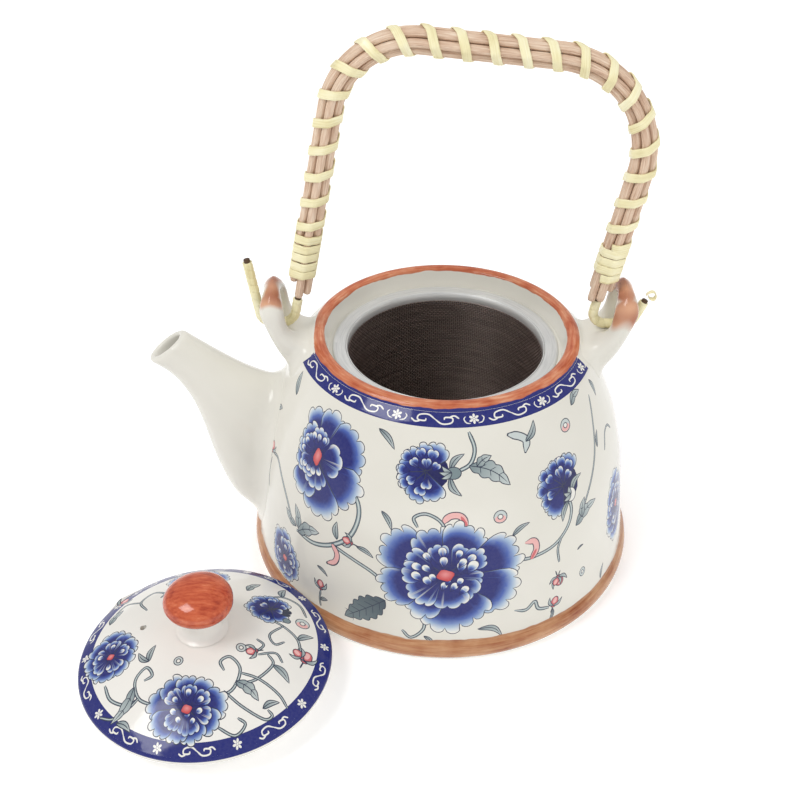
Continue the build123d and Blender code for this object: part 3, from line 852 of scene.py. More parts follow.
# Sprouts and small buds.
pot_print.stroke((-64.5, 80.0), [(0.6, -4.6), (1.6, -0.6), (-0.6, 1.6), (-5.0, 3.2)], 2.9, LINE, (0.2, 0.3))
pot_print.stroke((-64.5, 80.0), [(0.7, -4.2), (1.6, -0.6), (-0.6, 1.6), (-4.5, 3.0)], 2.2, GREY_PALE,
                 (0.2, 0.3))
pot_print.leaf((-64.5, 80.0), (1.4, -0.8), (5.6, 5.4), 2.4, -0.15)
for spot, line in (((-64.5, 42.2), [(-2.8, 3.2), (0.8, 2.8), (1.6, -0.6), (-0.4, -4.2)]),
                   ((-88.5, 57.3), [(-4.0, -1.2), (-1.2, 1.7), (2.4, 1.6), (4.4, -1.8)])):
    pot_print.stroke(spot, line, 2.7, LINE, (0.25, 0.45))
    pot_print.stroke(spot, line, 2.0, PINK_PALE, (0.25, 0.45))
    pot_print.stroke(spot, line[2:], 1.1, PINK, (0.3, 0.6), 4)
pot_print.bud((-55.4, 25.5), -72, 1.5)
pot_print.bud((-55.4, 25.5), -115, 1.2)
pot_print.vine((-63.5, 16.5), [(-8.0, 1.4), (-3.4, 0.2), (0.0, 2.6), (1.6, -1.2), (6.2, -2.8)], 1.5,
               (0.3, 0.6))
pot_print.bud((-57.0, 13.5), 68, 1.35)
pot_print.leaf((-58.0, 10.5), (1.0, 2.0), (-0.8, -3.2), 1.3, 0.15)
pot_print.bud((-129.0, 17.0), 95, 1.3)
pot_print.vine((-129.0, 14.0), [(0, 2.0), (-0.2, -1.5), (0.4, -4.8)], 0.9)
pot_print.leaf((-129.0, 12.0), (0, 0), (3.4, 1.4), 1.5, 0.1)
pot_print.vine((-169.0, 60.0), [(1.0, 3.0), (2.2, -2.0), (0.4, -6.0)], 0.9)
pot_print.leaf((-170.5, 65.0), (1.5, -1.0), (-1.5, 3.8), 2.0, 0.1)
pot_print.leaf((-168.5, 66.0), (-0.5, -1.0), (4.0, 2.0), 2.0, 0.1)
pot_print.bud((-162.5, 52.0), 90, 1.4)
pot_print.vine((-161.5, 46.0), [(0, 4.0), (-0.6, -2.0), (0.4, -9.0)], 0.8)

# Big veined leaf, curl and tendril of the middle peony.
pot_print.leaf((-110.5, 21.5), (3.5, 1.5), (-11.5, -11.0), 9.5, 0.0, 6, (srgb(62, 76, 88), GREY))
pot_print.vine((-93.5, 56.0), [(4.2, -5.0), (1.4, 1.0), (-3.6, 3.6), (-7.6, 1.8), (-6.2, -1.6)], 1.3)
pot_print.vine((-97.0, 14.0), [(1.0, 5.0), (0.8, -1.0), (-3.4, -5.2), (-6.6, -2.4)], 1.3)
pot_print.leaf((-96.5, 9.5), (0.5, 0.5), (4.0, -3.4), 1.5, 0.1)
pot_print.leaf((-78.0, 11.5), (-3.6, 1.2), (5.4, -3.8), 2.4, 0.22)

# Left peony.
pot_print.peony(
    (-136.5, 66.5),
    outer=[(112, 17.5, 22, 3), (78, 18.5, 22, 3), (32, 21.5, 30, 5), (-26, 21.0, 28, 5), (-72, 21.5, 24, 4),
           (-108, 17.0, 24, 3), (-150, 11.5, 26, 3), (165, 11.0, 28, 4), (138, 12.5, 24, 3)],
    middle=[(100, 8.5, 40, 5, 1.5), (160, 7.5, 40, 4, 2.0), (-80, 10.5, 34, 4, 1.0), (12, 9.5, 46, 3, 1.5),
            (-130, 8.0, 40, 4, 1.2)],
    beads=[(-3.8, 3.8, 100, 3.2), (-1.6, 4.4, 92, 3.2), (1.0, 4.4, 84, 3.2), (-5.4, 1.6, 140, 3.0),
           (-5.6, -0.6, 170, 3.0), (-4.4, -2.6, 255, 3.4), (-2.4, -3.2, 262, 3.4), (-0.4, -3.0, 270, 3.4),
           (1.6, -2.4, 285, 3.2)],
    heart=(1.7, 3.0),
)
# Middle peony.
pot_print.peony(
    (-90.5, 36.5),
    outer=[(150, 26.0, 24, 5), (112, 20.0, 24, 4), (66, 21.5, 25, 5), (17, 27.5, 22, 5), (-26, 27.0, 24, 5),
           (-76, 24.5, 34, 6), (-118, 20.5, 20, 3), (-158, 24.5, 22, 5)],
    middle=[(150, 11.5, 26, 3, 4.0), (105, 10.0, 26, 3, 3.0), (62, 9.5, 24, 2, 4.0), (32, 12.5, 26, 4, 3.5),
            (-8, 10.5, 20, 2, 3.0), (-40, 12.0, 30, 2, 2.0), (-86, 13.0, 42, 4, 1.5),
            (-140, 14.0, 34, 5, 1.5), (178, 12.5, 26, 3, 3.0)],
    beads=[(-1.0, 6.6, 95, 4.4), (3.6, 6.4, 70, 3.6), (-5.0, 5.4, 125, 3.6), (6.6, 4.6, 45, 4.4),
           (-6.8, 2.0, 160, 4.4), (7.4, 0.2, 62, 5.2), (4.8, 0.6, 80, 4.6), (-7.4, -2.8, 140, 4.6),
           (-4.6, -5.0, 120, 4.4), (-1.0, -6.6, 75, 3.4), (1.8, -6.8, 60, 3.8), (4.8, -8.2, 50, 4.0),
           (4.2, -4.6, 70, 3.2), (-0.6, 3.0, 92, 4.2), (4.4, 3.0, 60, 3.8), (-4.6, 1.0, 140, 3.6),
           (0.4, -4.2, 80, 3.6), (-3.2, -2.8, 120, 3.2)],
    heart=(2.9, 2.3),
)
# Peonies by the right side and the left foot.
pot_print.peony(
    (-22.0, 33.0),
    outer=[(95, 15.5, 24, 3), (60, 12.5, 24, 3), (20, 11.5, 26, 3), (-20, 11.5, 26, 3), (-62, 13.0, 24, 3),
           (-95, 15.5, 26, 4), (-130, 12.5, 24, 3), (-165, 11.0, 26, 3), (160, 10.5, 26, 3),
           (125, 13.0, 24, 3)],
    middle=[(90, 7.5, 40, 3, 1.0), (30, 7.0, 36, 3, 1.0), (-40, 7.0, 36, 3, 1.0), (-100, 7.5, 40, 3, 1.0),
            (160, 7.0, 40, 3, 1.0)],
    beads=[(0, 3.0, 90, 3.0), (2.4, 1.4, 40, 3.0), (2.0, -1.8, -40, 3.0), (-1.4, -2.6, 240, 3.0),
           (-2.6, 1.2, 150, 3.0)],
    heart=(1.5, 1.5),
)
pot_print.peony(
    (-146.0, 17.5),
    outer=[(95, 12.5, 22, 3), (60, 10.0, 24, 3), (20, 9.5, 26, 3), (-25, 9.5, 26, 3), (-70, 9.5, 26, 3),
           (-115, 9.0, 26, 3), (-160, 9.5, 26, 3), (155, 10.0, 26, 3), (125, 12.0, 22, 3)],
    middle=[(90, 7.5, 36, 3, 1.0), (20, 6.0, 36, 3, 1.0), (-60, 6.0, 40, 3, 1.0), (200, 6.0, 40, 3, 1.0)],
    beads=[(0, 2.6, 90, 3.0), (2.0, 0, 10, 2.6), (-2.0, 0, 170, 2.6), (0, -2.4, 270, 2.6)],
    heart=(1.3, 1.2),
)

# The back carries the same print in a looser repeat.
for place in ((32.0, 42.0), (84.0, 52.0), (-221.0, 42.0)):
    pot_print.vine(place, [(-28.0, -16.0), (-20.0, -22.0), (-8.0, -19.0), (2.0, -14.0)], 1.5)
    pot_print.vine(place, [(20.0, -4.0), (27.0, 4.0), (26.0, 14.0), (18.0, 20.0), (10.0, 17.0)], 1.4)
    pot_print.leaf(place, (-20.0, -21.0), (-27.0, -29.0), 6.0, 0.1, 4)
    pot_print.leaf(place, (24.0, 16.0), (30.0, 25.0), 4.6, 0.1, 3)
    pot_print.bud((place[0] - 16, place[1] + 26), 60, 1.4)
    pot_print.bead((place[0] + 21, place[1] + 30))
    pot_print.peony(
        place,
        outer=[(150, 19.0, 24, 4), (110, 17.0, 24, 4), (66, 17.5, 25, 4), (20, 20.0, 24, 4),
               (-24, 19.5, 24, 4), (-74, 19.0, 30, 5), (-120, 17.0, 22, 3), (-160, 19.0, 24, 4)],
        middle=[(140, 9.5, 28, 3, 3.0), (88, 9.0, 28, 3, 3.0), (36, 9.5, 28, 3, 3.0), (-20, 9.5, 28, 3, 2.5),
                (-84, 10.0, 36, 4, 2.0), (-145, 9.5, 32, 4, 2.0)],
        beads=[(0, 5.4, 90, 3.6), (4.0, 3.4, 40, 3.6), (4.4, -2.2, -20, 3.6), (0, -5.0, 80, 3.4),
               (-4.4, -2.6, 150, 3.6), (-4.2, 3.0, 140, 3.6)],
        heart=(2.4, 2.0),
    )


def wall_patch():
    """The printed wall: meshed flat, then rolled round the pot."""
    left, right = SEAM * FLAT_RADIUS, (SEAM + TAU) * FLAT_RADIUS
    top = WALL_LENGTH[-1]
    across = np.linspace(left, right, SEGMENTS + 1)
    levels = np.linspace(0, top, 45)
    between = levels[1:-1]
    border = np.vstack([
        np.stack([across, np.zeros_like(across)], -1),
        np.stack([np.full_like(between, right), between], -1),
        np.stack([across[::-1], np.full_like(across, top)], -1),
        np.stack([np.full_like(between, left), between[::-1]], -1),
    ])
    step = across[1] - across[0]
    free = [np.stack([across[1:-1] + (step / 2 if n % 2 else 0) * 0.98, np.full(SEGMENTS - 1, level)], -1)
            for n, level in enumerate(between)]
    points, triangles, colours = pot_print.mesh(border, np.vstack(free))
    normal = profile_normals(WALL_LINE)
    angle = points[:, 0] / FLAT_RADIUS
    radius, height, out, rise = (np.interp(points[:, 1], WALL_LENGTH, values)
                                 for values in (WALL_LINE[:, 0], WALL_LINE[:, 1], normal[:, 0], normal[:, 1]))
    cos, sin = np.cos(angle), np.sin(angle)
    placed = np.stack([radius * cos, radius * sin, height], -1)
    return placed, triangles.tolist(), np.stack([out * cos, out * sin, rise], -1), colours


foot_line = np.vstack([[(0.0, 1.5), (57.0, 1.5), (59.6, 0.2), (60.0, 0.0), (65.0, 0.0), (71.0, 0.0)],
                       arc((71.2, 0.0), (72.88, 3.4), (70.8, 8.2), 10)])
rim_line = np.vstack([arc((48.0, 90.0), (46.6, 91.7), (45.2, 92.0), 7),
                      [(44.4, 91.95), (43.6, 91.7), (43.1, 91.3), (42.9, 90.8), (42.4, 88.8), (41.9, 87.0),
                       (41.4, 85.5)],
                      [(41.3, 85.1), (41.0, 85.1), (39.0, 85.1), (37.4, 85.1), (37.2, 84.9), (37.2, 83.0),
                       (37.2, 81.6)],
                      smooth_line([(37.3, 81.4), (43.2, 79.3), (54.5, 72.0), (59.2, 60.0), (62.7, 45.0),
                                   (65.2, 25.0),
                                   (64.0, 12.0), (60.0, 7.2), (56.2, 5.0)], 5),
                      [(50.0, 5.0), (20.0, 5.0), (0.0, 5.0)]])
rim_points, rim_faces, rim_normals, _ = turned(rim_line, SEGMENTS, start=SEAM)
rim_turns = np.degrees(np.arctan2(rim_points[:, 1], rim_points[:, 0]))
banded = (rim_points[:, 2] > 89.9) & (np.hypot(*rim_points[:, :2].T) > 46.4)
banded &= (rim_turns > band_left) & (rim_turns < band_right)
rim_paint = [np.tile((*BAND_BLUE, 1.0) if banded[face].all() else np.zeros(4), (4, 1)) for face in rim_faces]
painted_piece(
    "pot_shell",
    [wall_patch(), turned(foot_line, SEGMENTS, start=SEAM), (rim_points, rim_faces, rim_normals, rim_paint)],
    "pot", "glaze", body_skin, ("pot_body", "pot_floor"),
)


# ================================================================ spout and lugs, blended into the wall
SPOUT_SECTIONS = [            # lower (x, z), upper (x, z), half width
    (-107.0, 79.3, -93.3, 89.6, 6.8), (-99.8, 74.0, -88.0, 85.5, 7.1), (-94.5, 66.5, -79.2, 79.0, 8.6),
    (-90.5, 56.0, -70.7, 73.5, 11.0), (-85.5, 34.0, -60.0, 69.0, 14.0), (-79.0, 18.0, -54.0, 66.0, 15.5),
    (-68.0, 9.5, -50.0, 60.0, 15.5),
]
SPOUT_WALL = 2.6
SPOUT_BLEND = 7.0
LUG_SIDE = [(50.0, 78.0), (56.8, 83.0), (63.3, 98.0), (64.5, 105.0), (60.6, 111.9), (57.0, 106.0),
            (54.8, 95.5),
            (49.0, 89.5), (46.5, 82.0)]
LUG_FRONT = [(6.0, 75.5), (9.5, 82.0), (10.9, 90.0), (11.0, 101.0)]
LUG_TOP = 112.0
BACK_LUG_SHIFT = 1.4
HOLE_LOW = SWING_Z - 2.05
HOLE_TOP = 106.2
HOLE_HALF = 5.4
LUG_BLEND = 5.0
STEP = 0.62


def outline_distance(px, py, outline):
    """Signed distance from points to a closed outline, below zero inside."""
    best, inside = np.full(px.shape, 1e9), np.zeros(px.shape, bool)
    corners = np.asarray(outline, float)
    for (ax, ay), (bx, by) in zip(corners, np.roll(corners, -1, 0)):
        ex, ey = bx - ax, by - ay
        t = np.clip(((px - ax) * ex + (py - ay) * ey) / max(ex * ex + ey * ey, 1e-12), 0, 1)
        best = np.minimum(best, np.hypot(px - ax - t * ex, py - ay - t * ey))
        if ey:
            inside ^= ((ay > py) != (by > py)) & (px < ex * (py - ay) / ey + ax)
    return np.where(inside, -best, best)


def soft_min(a, b, width):
    h = np.clip(0.5 + 0.5 * (b - a) / width, 0, 1)
    return b + (a - b) * h - width * h * (1 - h)


def soft_max(a, b, width):
    return -soft_min(-a, -b, width)


def surface_net(values, low, step):
    """Quads over the zero level of a grid of signed distances."""
    inside = values < 0
    size = np.array(values.shape) - 1

    def corner(grid, o):
        return grid[o[0]:o[0] + size[0], o[1]:o[1] + size[1], o[2]:o[2] + size[2]]

    offsets = [(i, j, k) for i in (0, 1) for j in (0, 1) for k in (0, 1)]
    count = sum(corner(inside, o).astype(int) for o in offsets)
    active = (count > 0) & (count < 8)
    total, hits = np.zeros((*size, 3)), np.zeros(size)
    for o in offsets:
        for axis in range(3):
            if o[axis]:
                continue
            end = tuple(v + (n == axis) for n, v in enumerate(o))
            a, b = corner(values, o), corner(values, end)
            cross = (a < 0) != (b < 0)
            share = np.where(cross, a / np.where(cross, a - b, 1), 0)
            for n in range(3):
                total[..., n] += cross * (o[n] + (share if n == axis else 0))
            hits += cross
    index = np.full(active.shape, -1)
    index[active] = np.arange(active.sum())
    cells = np.argwhere(active)
    points = np.asarray(low) + step * (cells + total[active] / hits[active][:, None])
    faces = []
    for axis in range(3):
        u, v = (axis + 1) % 3, (axis + 2) % 3
        a = np.moveaxis(inside, (axis, u, v), (0, 1, 2))
        cell = np.moveaxis(index, (axis, u, v), (0, 1, 2))
        first, second = a[:-1, 1:-1, 1:-1], a[1:, 1:-1, 1:-1]
        quads = np.stack([cell[:, :-1, :-1], cell[:, 1:, :-1], cell[:, 1:, 1:], cell[:, :-1, 1:]], -1)
        faces.append(quads[first & ~second])
        faces.append(quads[~first & second][:, ::-1])
    return points, np.concatenate(faces)


BODY_SECTION = np.vstack([[(0.0, 0.0)], foot_line[3:], WALL_LINE[1:], rim_line[1:8], [(0.0, 92.0)]])


def axes(low, high):
    return [np.arange(a, b + STEP, STEP) for a, b in zip(low, high)]


def body_distance(x, y, z):
    """Signed distance to the pot's outside, on a grid."""
    radii = np.arange(30.0, 125.0, 0.5)
    table = outline_distance(*np.meshgrid(radii, z, indexing="ij"), BODY_SECTION)
    place = (np.hypot(x[:, None], y[None, :]) - radii[0]) / 0.5
    lower = place.astype(int)
    share = (place - lower)[..., None]
    return table[lower] * (1 - share) + table[lower + 1] * share


def spout_distances(x, y, z):
    """Signed distances to the spout's outside and to its bore, on a grid."""
    line = smooth_line(SPOUT_SECTIONS, 12)
    gx, gz = np.meshgrid(x, z, indexing="ij")
    rise = line[:, 2:4] - line[:, :2]
    half = np.hypot(*rise.T) / 2
    rise = rise / (2 * half)[:, None]
    centre = (line[:, :2] + line[:, 2:4]) / 2
    ahead = [(gx - c[0]) * r[1] - (gz - c[1]) * r[0] for c, r in zip(centre, rise)]
    along = [((gx - c[0]) * r[0] + (gz - c[1]) * r[1]) for c, r in zip(centre, rise)]
    best = np.full(gx.shape, 1e9)
    where = np.where(ahead[0] < 0, 0.0, len(line) - 1.0)
    for n in range(len(line) - 1):
        cross = (ahead[n] >= 0) & (ahead[n + 1] < 0)
        share = np.where(cross, ahead[n] / np.where(cross, ahead[n] - ahead[n + 1], 1), 0)
        off = np.abs(along[n]) / half[n]
        take = cross & (off < best)
        best = np.where(take, off, best)
        where = np.where(take, n + share, where)
    at = np.arange(len(line))
    cx, cz, rx, rz, h, w = (np.interp(where, at, v) for v in (*centre.T, *rise.T, half, line[:, 4]))
    a = ((gx - cx) * rx + (gz - cz) * rz)[:, None, :]
    b = y[None, :, None]

    def ellipse(inset):
        hh, ww = (h - inset)[:, None, :], (w - inset)[:, None, :]
        q = np.sqrt((a / hh) ** 2 + (b / ww) ** 2) + 1e-6
        return (q - 1) * q / np.sqrt((a / hh**2) ** 2 + (b / ww**2) ** 2 + 1e-9)

    return ellipse(0.0), ellipse(SPOUT_WALL), ahead[0][:, None, :]


def make_spout():
    low, high = (-109.0, -24.0, 4.0), (-44.0, 24.0, 93.0)
    x, y, z = axes(low, high)
    wall = body_distance(x, y, z)
    outer, bore, past_mouth = spout_distances(x, y, z)
    outer = soft_max(outer, -past_mouth, 1.6)
    solid = soft_min(wall + 0.06, outer, SPOUT_BLEND)
    solid = np.maximum(np.maximum(solid, -(wall + 1.3)), outer - 0.75 * SPOUT_BLEND)
    solid = soft_max(solid, -bore, 1.2)
    points, faces = surface_net(solid, low, STEP)
    return points, faces


def make_lug(side):
    """The lug on the +X side for side 1 and on the spout side for side -1."""
    shift = BACK_LUG_SHIFT if side > 0 else 0.0
    low, high = (34.0, -19.0, 66.0), (69.0, 19.0, 114.0)
    x, y, z = axes(low, high)
    wall = body_distance(x, y, z)
    gx, gz = np.meshgrid(x, z, indexing="ij")
    side_distance = outline_distance(gx - shift, gz, smooth_line(LUG_SIDE, 6, closed=True))[:, None, :]
    half = smooth_line(LUG_FRONT, 6)
    top = np.linspace(0, math.pi, 24)
    arch = np.stack([11.0 * np.cos(top), LUG_TOP - 11.0 + 11.0 * np.sin(top)], -1)
    front = np.vstack([half, arch[1:-1], (half * (-1, 1))[::-1]])
    gy, gz = np.meshgrid(y, z, indexing="ij")
    front_distance = outline_distance(gy, gz, front)[None]
    middle, reach = (HOLE_LOW + HOLE_TOP) / 2, (HOLE_TOP - HOLE_LOW) / 2
    angles = np.arange(40) * TAU / 40
    hole = np.stack([HOLE_HALF * np.cos(angles), middle + reach * np.sin(angles)], -1)
    hole_distance = outline_distance(gy, gz, hole)[None]
    lug = soft_max(side_distance, front_distance, 4.2)
    lug = soft_max(lug, -hole_distance, 2.6)
    solid = soft_min(wall + 0.06, lug, LUG_BLEND)
    solid = np.maximum(np.maximum(solid, -(wall + 1.3)), lug - 0.75 * LUG_BLEND)
    points, faces = surface_net(solid, low, STEP)
    if side < 0:
        points = points * (-1, 1, 1)
        faces = faces[:, ::-1]
    return points, faces


def blotched(points, side):
    """Brown brushwork on a lug's crown: colour and cover at each point."""
    x, y, z = points[:, 0] * side, points[:, 1], points[:, 2]
    wander = 0.9 * np.sin(0.45 * y + 1.3 * side) + 0.5 * np.sin(0.6 * x + 0.5 * y)
    cover = np.clip((z - (106.4 if side > 0 else 108.0) + wander) / 1.6 + 0.4, 0, 1)
    if side > 0:
        drip = np.clip(1.2 - np.hypot((y + 9.0) / 2.6, (z - 104.0) / 6.5), 0, 1) * 2.2
    else:
        drip = np.clip(1.1 - np.hypot((y + 7.6) / 2.4, (z - 108.0) / 4.0), 0, 1) * 2.2
    cover = np.clip(np.maximum(cover, drip), 0, 1)
    streak = 0.5 + 0.25 * np.sin(0.7 * z + 0.5 * y + 1.0) + 0.25 * np.sin(0.5 * x - 0.4 * z)
    dark, light = np.array(srgb(164, 92, 58)), np.array(srgb(214, 158, 122))
    colour = dark + streak[:, None] * (light - dark)
    return np.column_stack([colour, cover * 0.94])


def sculpted(name, shape, skin, replaces, paint=None):
    points, faces = shape
    made = piece(name, points, faces, "pot", "glaze", skin, replaces)
    cover = np.zeros((len(points), 4)) if paint is None else paint
    made.data.color_attributes.new("paint", "FLOAT_COLOR", "POINT").data.foreach_set(
        "color", cover.astype(np.float32).ravel())
    return made


sculpted("spout_shell", make_spout(), plain_skin, ("spout",))
for side, name, node in ((-1, "ear_spout_side", "lug_spout_side"), (1, "ear_back_side", "lug_back_side")):
    shape = make_lug(side)
    sculpted(name, shape, plain_skin, (node,), blotched(shape[0], side))


# ================================================================ lid
LID_DOME = [(6.2, 26.6), (11.0, 25.6), (20.0, 23.2), (30.0, 19.4), (38.0, 15.2), (41.6, 12.9)]
VENT = (-20.5, 3.0)
FOUR_BEADS = [(0, 2.6, 90, 2.4), (2.2, 0.6, 20, 2.4), (-2.2, 0.6, 160, 2.4), (0, -2.2, 270, 2.4)]    # x, y, turn, length
dome_line = smooth_line(LID_DOME, 6)


def lid_spot(spot):
    """The lid is printed flat, from above."""
    return spot[0], spot[1], 1.0


def ring_outline(inner, outer, start, end):
    """A flat stretch of a ring between two turns in degrees."""
    angles = np.radians(np.linspace(start, end, 120))
    rim = np.stack([np.cos(angles), np.sin(angles)], -1)
    return np.vstack([outer * rim, inner * rim[::-1]])


lid_print = Print(lid_spot, 11)

# Blue band round the edge, with white scrolls and small flowers.
for start in (-62.0, 118.0):
    lid_print.shape((0, 0), ring_outline(37.7, 41.6, start, start + 180.5), BAND_BLUE)
for index in range(20):
    angle = 360 * index / 20 + 4
    if index % 2:
        lid_print.scroll(polar(39.9, angle), 11.4, 3.0, 0.45, turn=angle + 90)
    else:
        lid_print.small_flower(polar(39.9, angle), 1.5)

# Vines between the flowers.
for width, line in (
    (1.1, [(6.0, -25.0), (12.0, -22.0), (14.0, -15.0), (10.5, -11.0), (7.5, -13.0), (9.0, -16.0)]),
    (1.0, [(12.5, -20.0), (19.0, -17.5), (24.0, -11.0), (22.0, -7.5)]),
    (1.1, [(-12.0, -27.0), (-17.5, -24.0), (-19.5, -18.0), (-16.5, -14.0), (-14.0, -17.0), (-16.5, -18.5)]),
    (1.1, [(-30.0, -17.0), (-27.0, -22.5), (-21.0, -25.5), (-17.5, -24.0)]),
    (1.0, [(20.5, 8.0), (26.5, 5.5), (31.0, 1.5), (32.5, -4.0)]),
    (1.0, [(18.0, 18.0), (24.0, 22.0), (30.0, 20.0), (33.0, 14.0)]),
    (0.9, [(26.0, 6.0), (22.0, 0.5), (24.0, -3.0), (27.0, -1.0)]),
    (1.0, [(8.0, -33.0), (14.0, -35.0), (17.0, -31.5), (14.5, -30.0)]),
    (0.9, [(17.5, -8.5), (20.5, -4.5), (18.0, -2.5)]),
    (0.9, [(19.0, -8.5), (24.5, -6.5), (27.0, -9.5)]),
    (1.0, [(9.5, -22.5), (15.5, -26.5), (22.5, -29.0), (25.0, -27.5), (23.5, -26.0)]),
    (1.0, [(14.0, -16.0), (20.0, -17.0), (26.5, -20.5), (29.5, -24.0)]),
    (1.0, [(-30.0, -27.0), (-25.5, -28.5), (-20.5, -26.5), (-17.5, -24.0)]),
    (1.0, [(-21.0, 12.0), (-24.5, 18.0), (-21.0, 23.0), (-16.5, 21.0), (-17.5, 18.5)]),
    (0.9, [(-24.5, 18.0), (-30.0, 19.5), (-33.0, 15.5)]),
):
    lid_print.vine((0, 0), line, width)
lid_print.ring((13.5, -7.0), 1.6, 1.6, (0.7, 0.7))
lid_print.ring((-6.0, -13.0), 1.5, 1.5, (0.7, 0.7))
for base, tip, width, teeth in (((13.0, -19.0), (20.5, -24.0), 3.6, 3),
                                ((-19.5, -20.0), (-26.0, -30.0), 3.4, 3),
                                ((-16.0, -12.0), (-14.5, -6.0), 2.0, 0),
                                ((-16.0, -12.0), (-20.0, -8.0), 1.8, 0),
                                ((24.0, -11.0), (29.5, -16.0), 2.4, 0), ((31.0, 1.5), (36.0, 5.0), 2.2, 0),
                                ((24.0, 22.0), (24.5, 28.0), 2.4, 0), ((-34.0, 10.0), (-30.5, 16.5), 2.6, 2),
                                ((-8.0, 16.0), (-13.0, 20.0), 2.4, 2), ((12.0, 22.0), (16.0, 28.0), 2.8, 2),
                                ((-24.0, -30.0), (-19.0, -33.5), 2.0, 0),
                                ((22.0, -26.0), (27.0, -23.0), 1.8, 0)):
    lid_print.leaf((0, 0), base, tip, width, 0.12, teeth)
for spot, turn, size in (((18.3, -7.2), 200, 1.15), ((33.6, -6.4), 70, 1.5), ((32.8, -5.2), 140, 1.2),
                         ((-33.0, 22.0), 60, 1.3), ((-2.0, 20.5), 110, 1.3)):
    lid_print.bud(spot, turn, size)
lid_print.oval((-34.1, 1.6), (0, 0), 1.0, 1.0, GREY_PALE)
lid_print.bead((32.0, 10.0))

lid_print.peony(
    (-1.5, -28.5),
    outer=[(168, 13.2, 26, 4), (130, 12.0, 24, 3), (92, 10.5, 26, 4), (52, 11.0, 24, 3), (14, 12.8, 26, 4),
           (-24, 11.5, 24, 3), (-68, 10.2, 28, 4), (-112, 10.0, 26, 4), (-152, 12.2, 24, 4)],
    middle=[(140, 6.6, 30, 3, 1.6), (88, 6.2, 28, 3, 1.6), (38, 6.6, 28, 3, 1.6), (-14, 6.6, 28, 3, 1.5),
            (-80, 6.8, 36, 4, 1.0), (-140, 6.6, 30, 4, 1.2)],
    beads=[(0, 3.2, 90, 2.6), (2.6, 1.8, 40, 2.6), (-2.6, 1.8, 140, 2.6), (2.6, -1.6, 40, 2.6),
           (-2.8, -1.8, 140, 2.6), (0, -3.2, 80, 2.6), (1.4, -4.6, 60, 2.2), (-1.6, -4.4, 120, 2.2)],
    heart=(1.6, 1.3),
)
lid_print.peony(
    (-30.0, -6.5),
    outer=[(95, 11.5, 24, 3), (60, 10.0, 24, 3), (22, 9.5, 26, 3), (-18, 9.0, 26, 3), (-58, 9.5, 26, 3),
           (-98, 9.5, 26, 3), (-140, 9.0, 24, 3), (175, 9.5, 26, 3), (135, 10.5, 24, 3)],
    middle=[(90, 6.0, 34, 3, 1.0), (20, 5.4, 34, 3, 1.0), (-60, 5.6, 36, 3, 1.0), (-140, 5.6, 34, 3, 1.0),
            (160, 5.6, 34, 3, 1.0)],
    beads=FOUR_BEADS,
    heart=(1.2, 1.1),
)
lid_print.closed_flower(
    (21.0, 13.2), (5.4, 5.2),
    outer=[(50, 8.0, 28, 3), (95, 8.0, 28, 3), (140, 8.4, 28, 3), (185, 8.6, 28, 3), (225, 7.6, 28, 3),
           (265, 7.6, 28, 3), (318, 7.2, 29, 3), (5, 6.8, 28, 3)],
    inner=[(-3.2, 2.0, 150, 3.4), (-3.4, -1.2, 190, 3.4), (0.0, 2.8, 90, 3.4), (2.6, 1.4, 40, 3.0),
           (-0.6, -2.6, 260, 3.2), (-0.8, 0.2, 140, 3.2), (1.2, -0.6, 10, 3.0)],
)
lid_print.oval((21.0, 13.2), (5.8, -4.2), 1.3, 1.2, GREY)
lid_print.peony(
    (-6.0, 30.0),
    outer=[(95, 7.6, 26, 3), (50, 9.0, 26, 3), (5, 11.0, 24, 4), (-40, 9.0, 26, 3), (-90, 9.5, 28, 4),
           (-135, 9.5, 26, 3), (178, 11.5, 24, 4), (138, 9.5, 26, 3)],
    middle=[(90, 5.6, 34, 3, 1.0), (20, 5.6, 34, 3, 1.0), (-60, 5.6, 36, 3, 1.0), (-140, 5.6, 34, 3, 1.0),
            (160, 5.6, 34, 3, 1.0)],
    beads=FOUR_BEADS,
    heart=(1.3, 1.1),
)


def circle(radius, count, centre=(0.0, 0.0)):
    """Evenly spaced points of a flat circle."""
    angles = np.arange(count) * TAU / count
    return np.stack([centre[0] + radius * np.cos(angles), centre[1] + radius * np.sin(angles)], -1)


def lid_patch():
    """The printed dome, with round gaps for the neck and the vent."""
    border = circle(dome_line[-1][0], SEGMENTS)
    spacing = 1.7
    x, y = np.meshgrid(np.arange(-42, 42, spacing), np.arange(-42, 42, spacing))
    free = np.stack([(x + spacing / 2 * (np.arange(len(x)) % 2)[:, None]).ravel(), y.ravel()], -1)
    reach = np.hypot(*free.T)
    free = free[(reach < 41.0) & (reach > 6.8)]
    points, triangles, colours = lid_print.mesh(border, free, [circle(6.2, 80), circle(1.1, 20, VENT)])
    reach = np.hypot(*points.T)
    height = np.interp(reach, dome_line[:, 0], dome_line[:, 1])
    slope = np.interp(reach, dome_line[:, 0], np.gradient(dome_line[:, 1], dome_line[:, 0]))
    out = points / np.maximum(reach, 1e-9)[:, None]
    normals = np.column_stack([-slope[:, None] * out, np.ones(len(points))])
    normals /= np.linalg.norm(normals, axis=1)[:, None]
    placed = np.column_stack([points + LID_CENTRE, height])
    return placed, triangles.tolist(), normals, colours


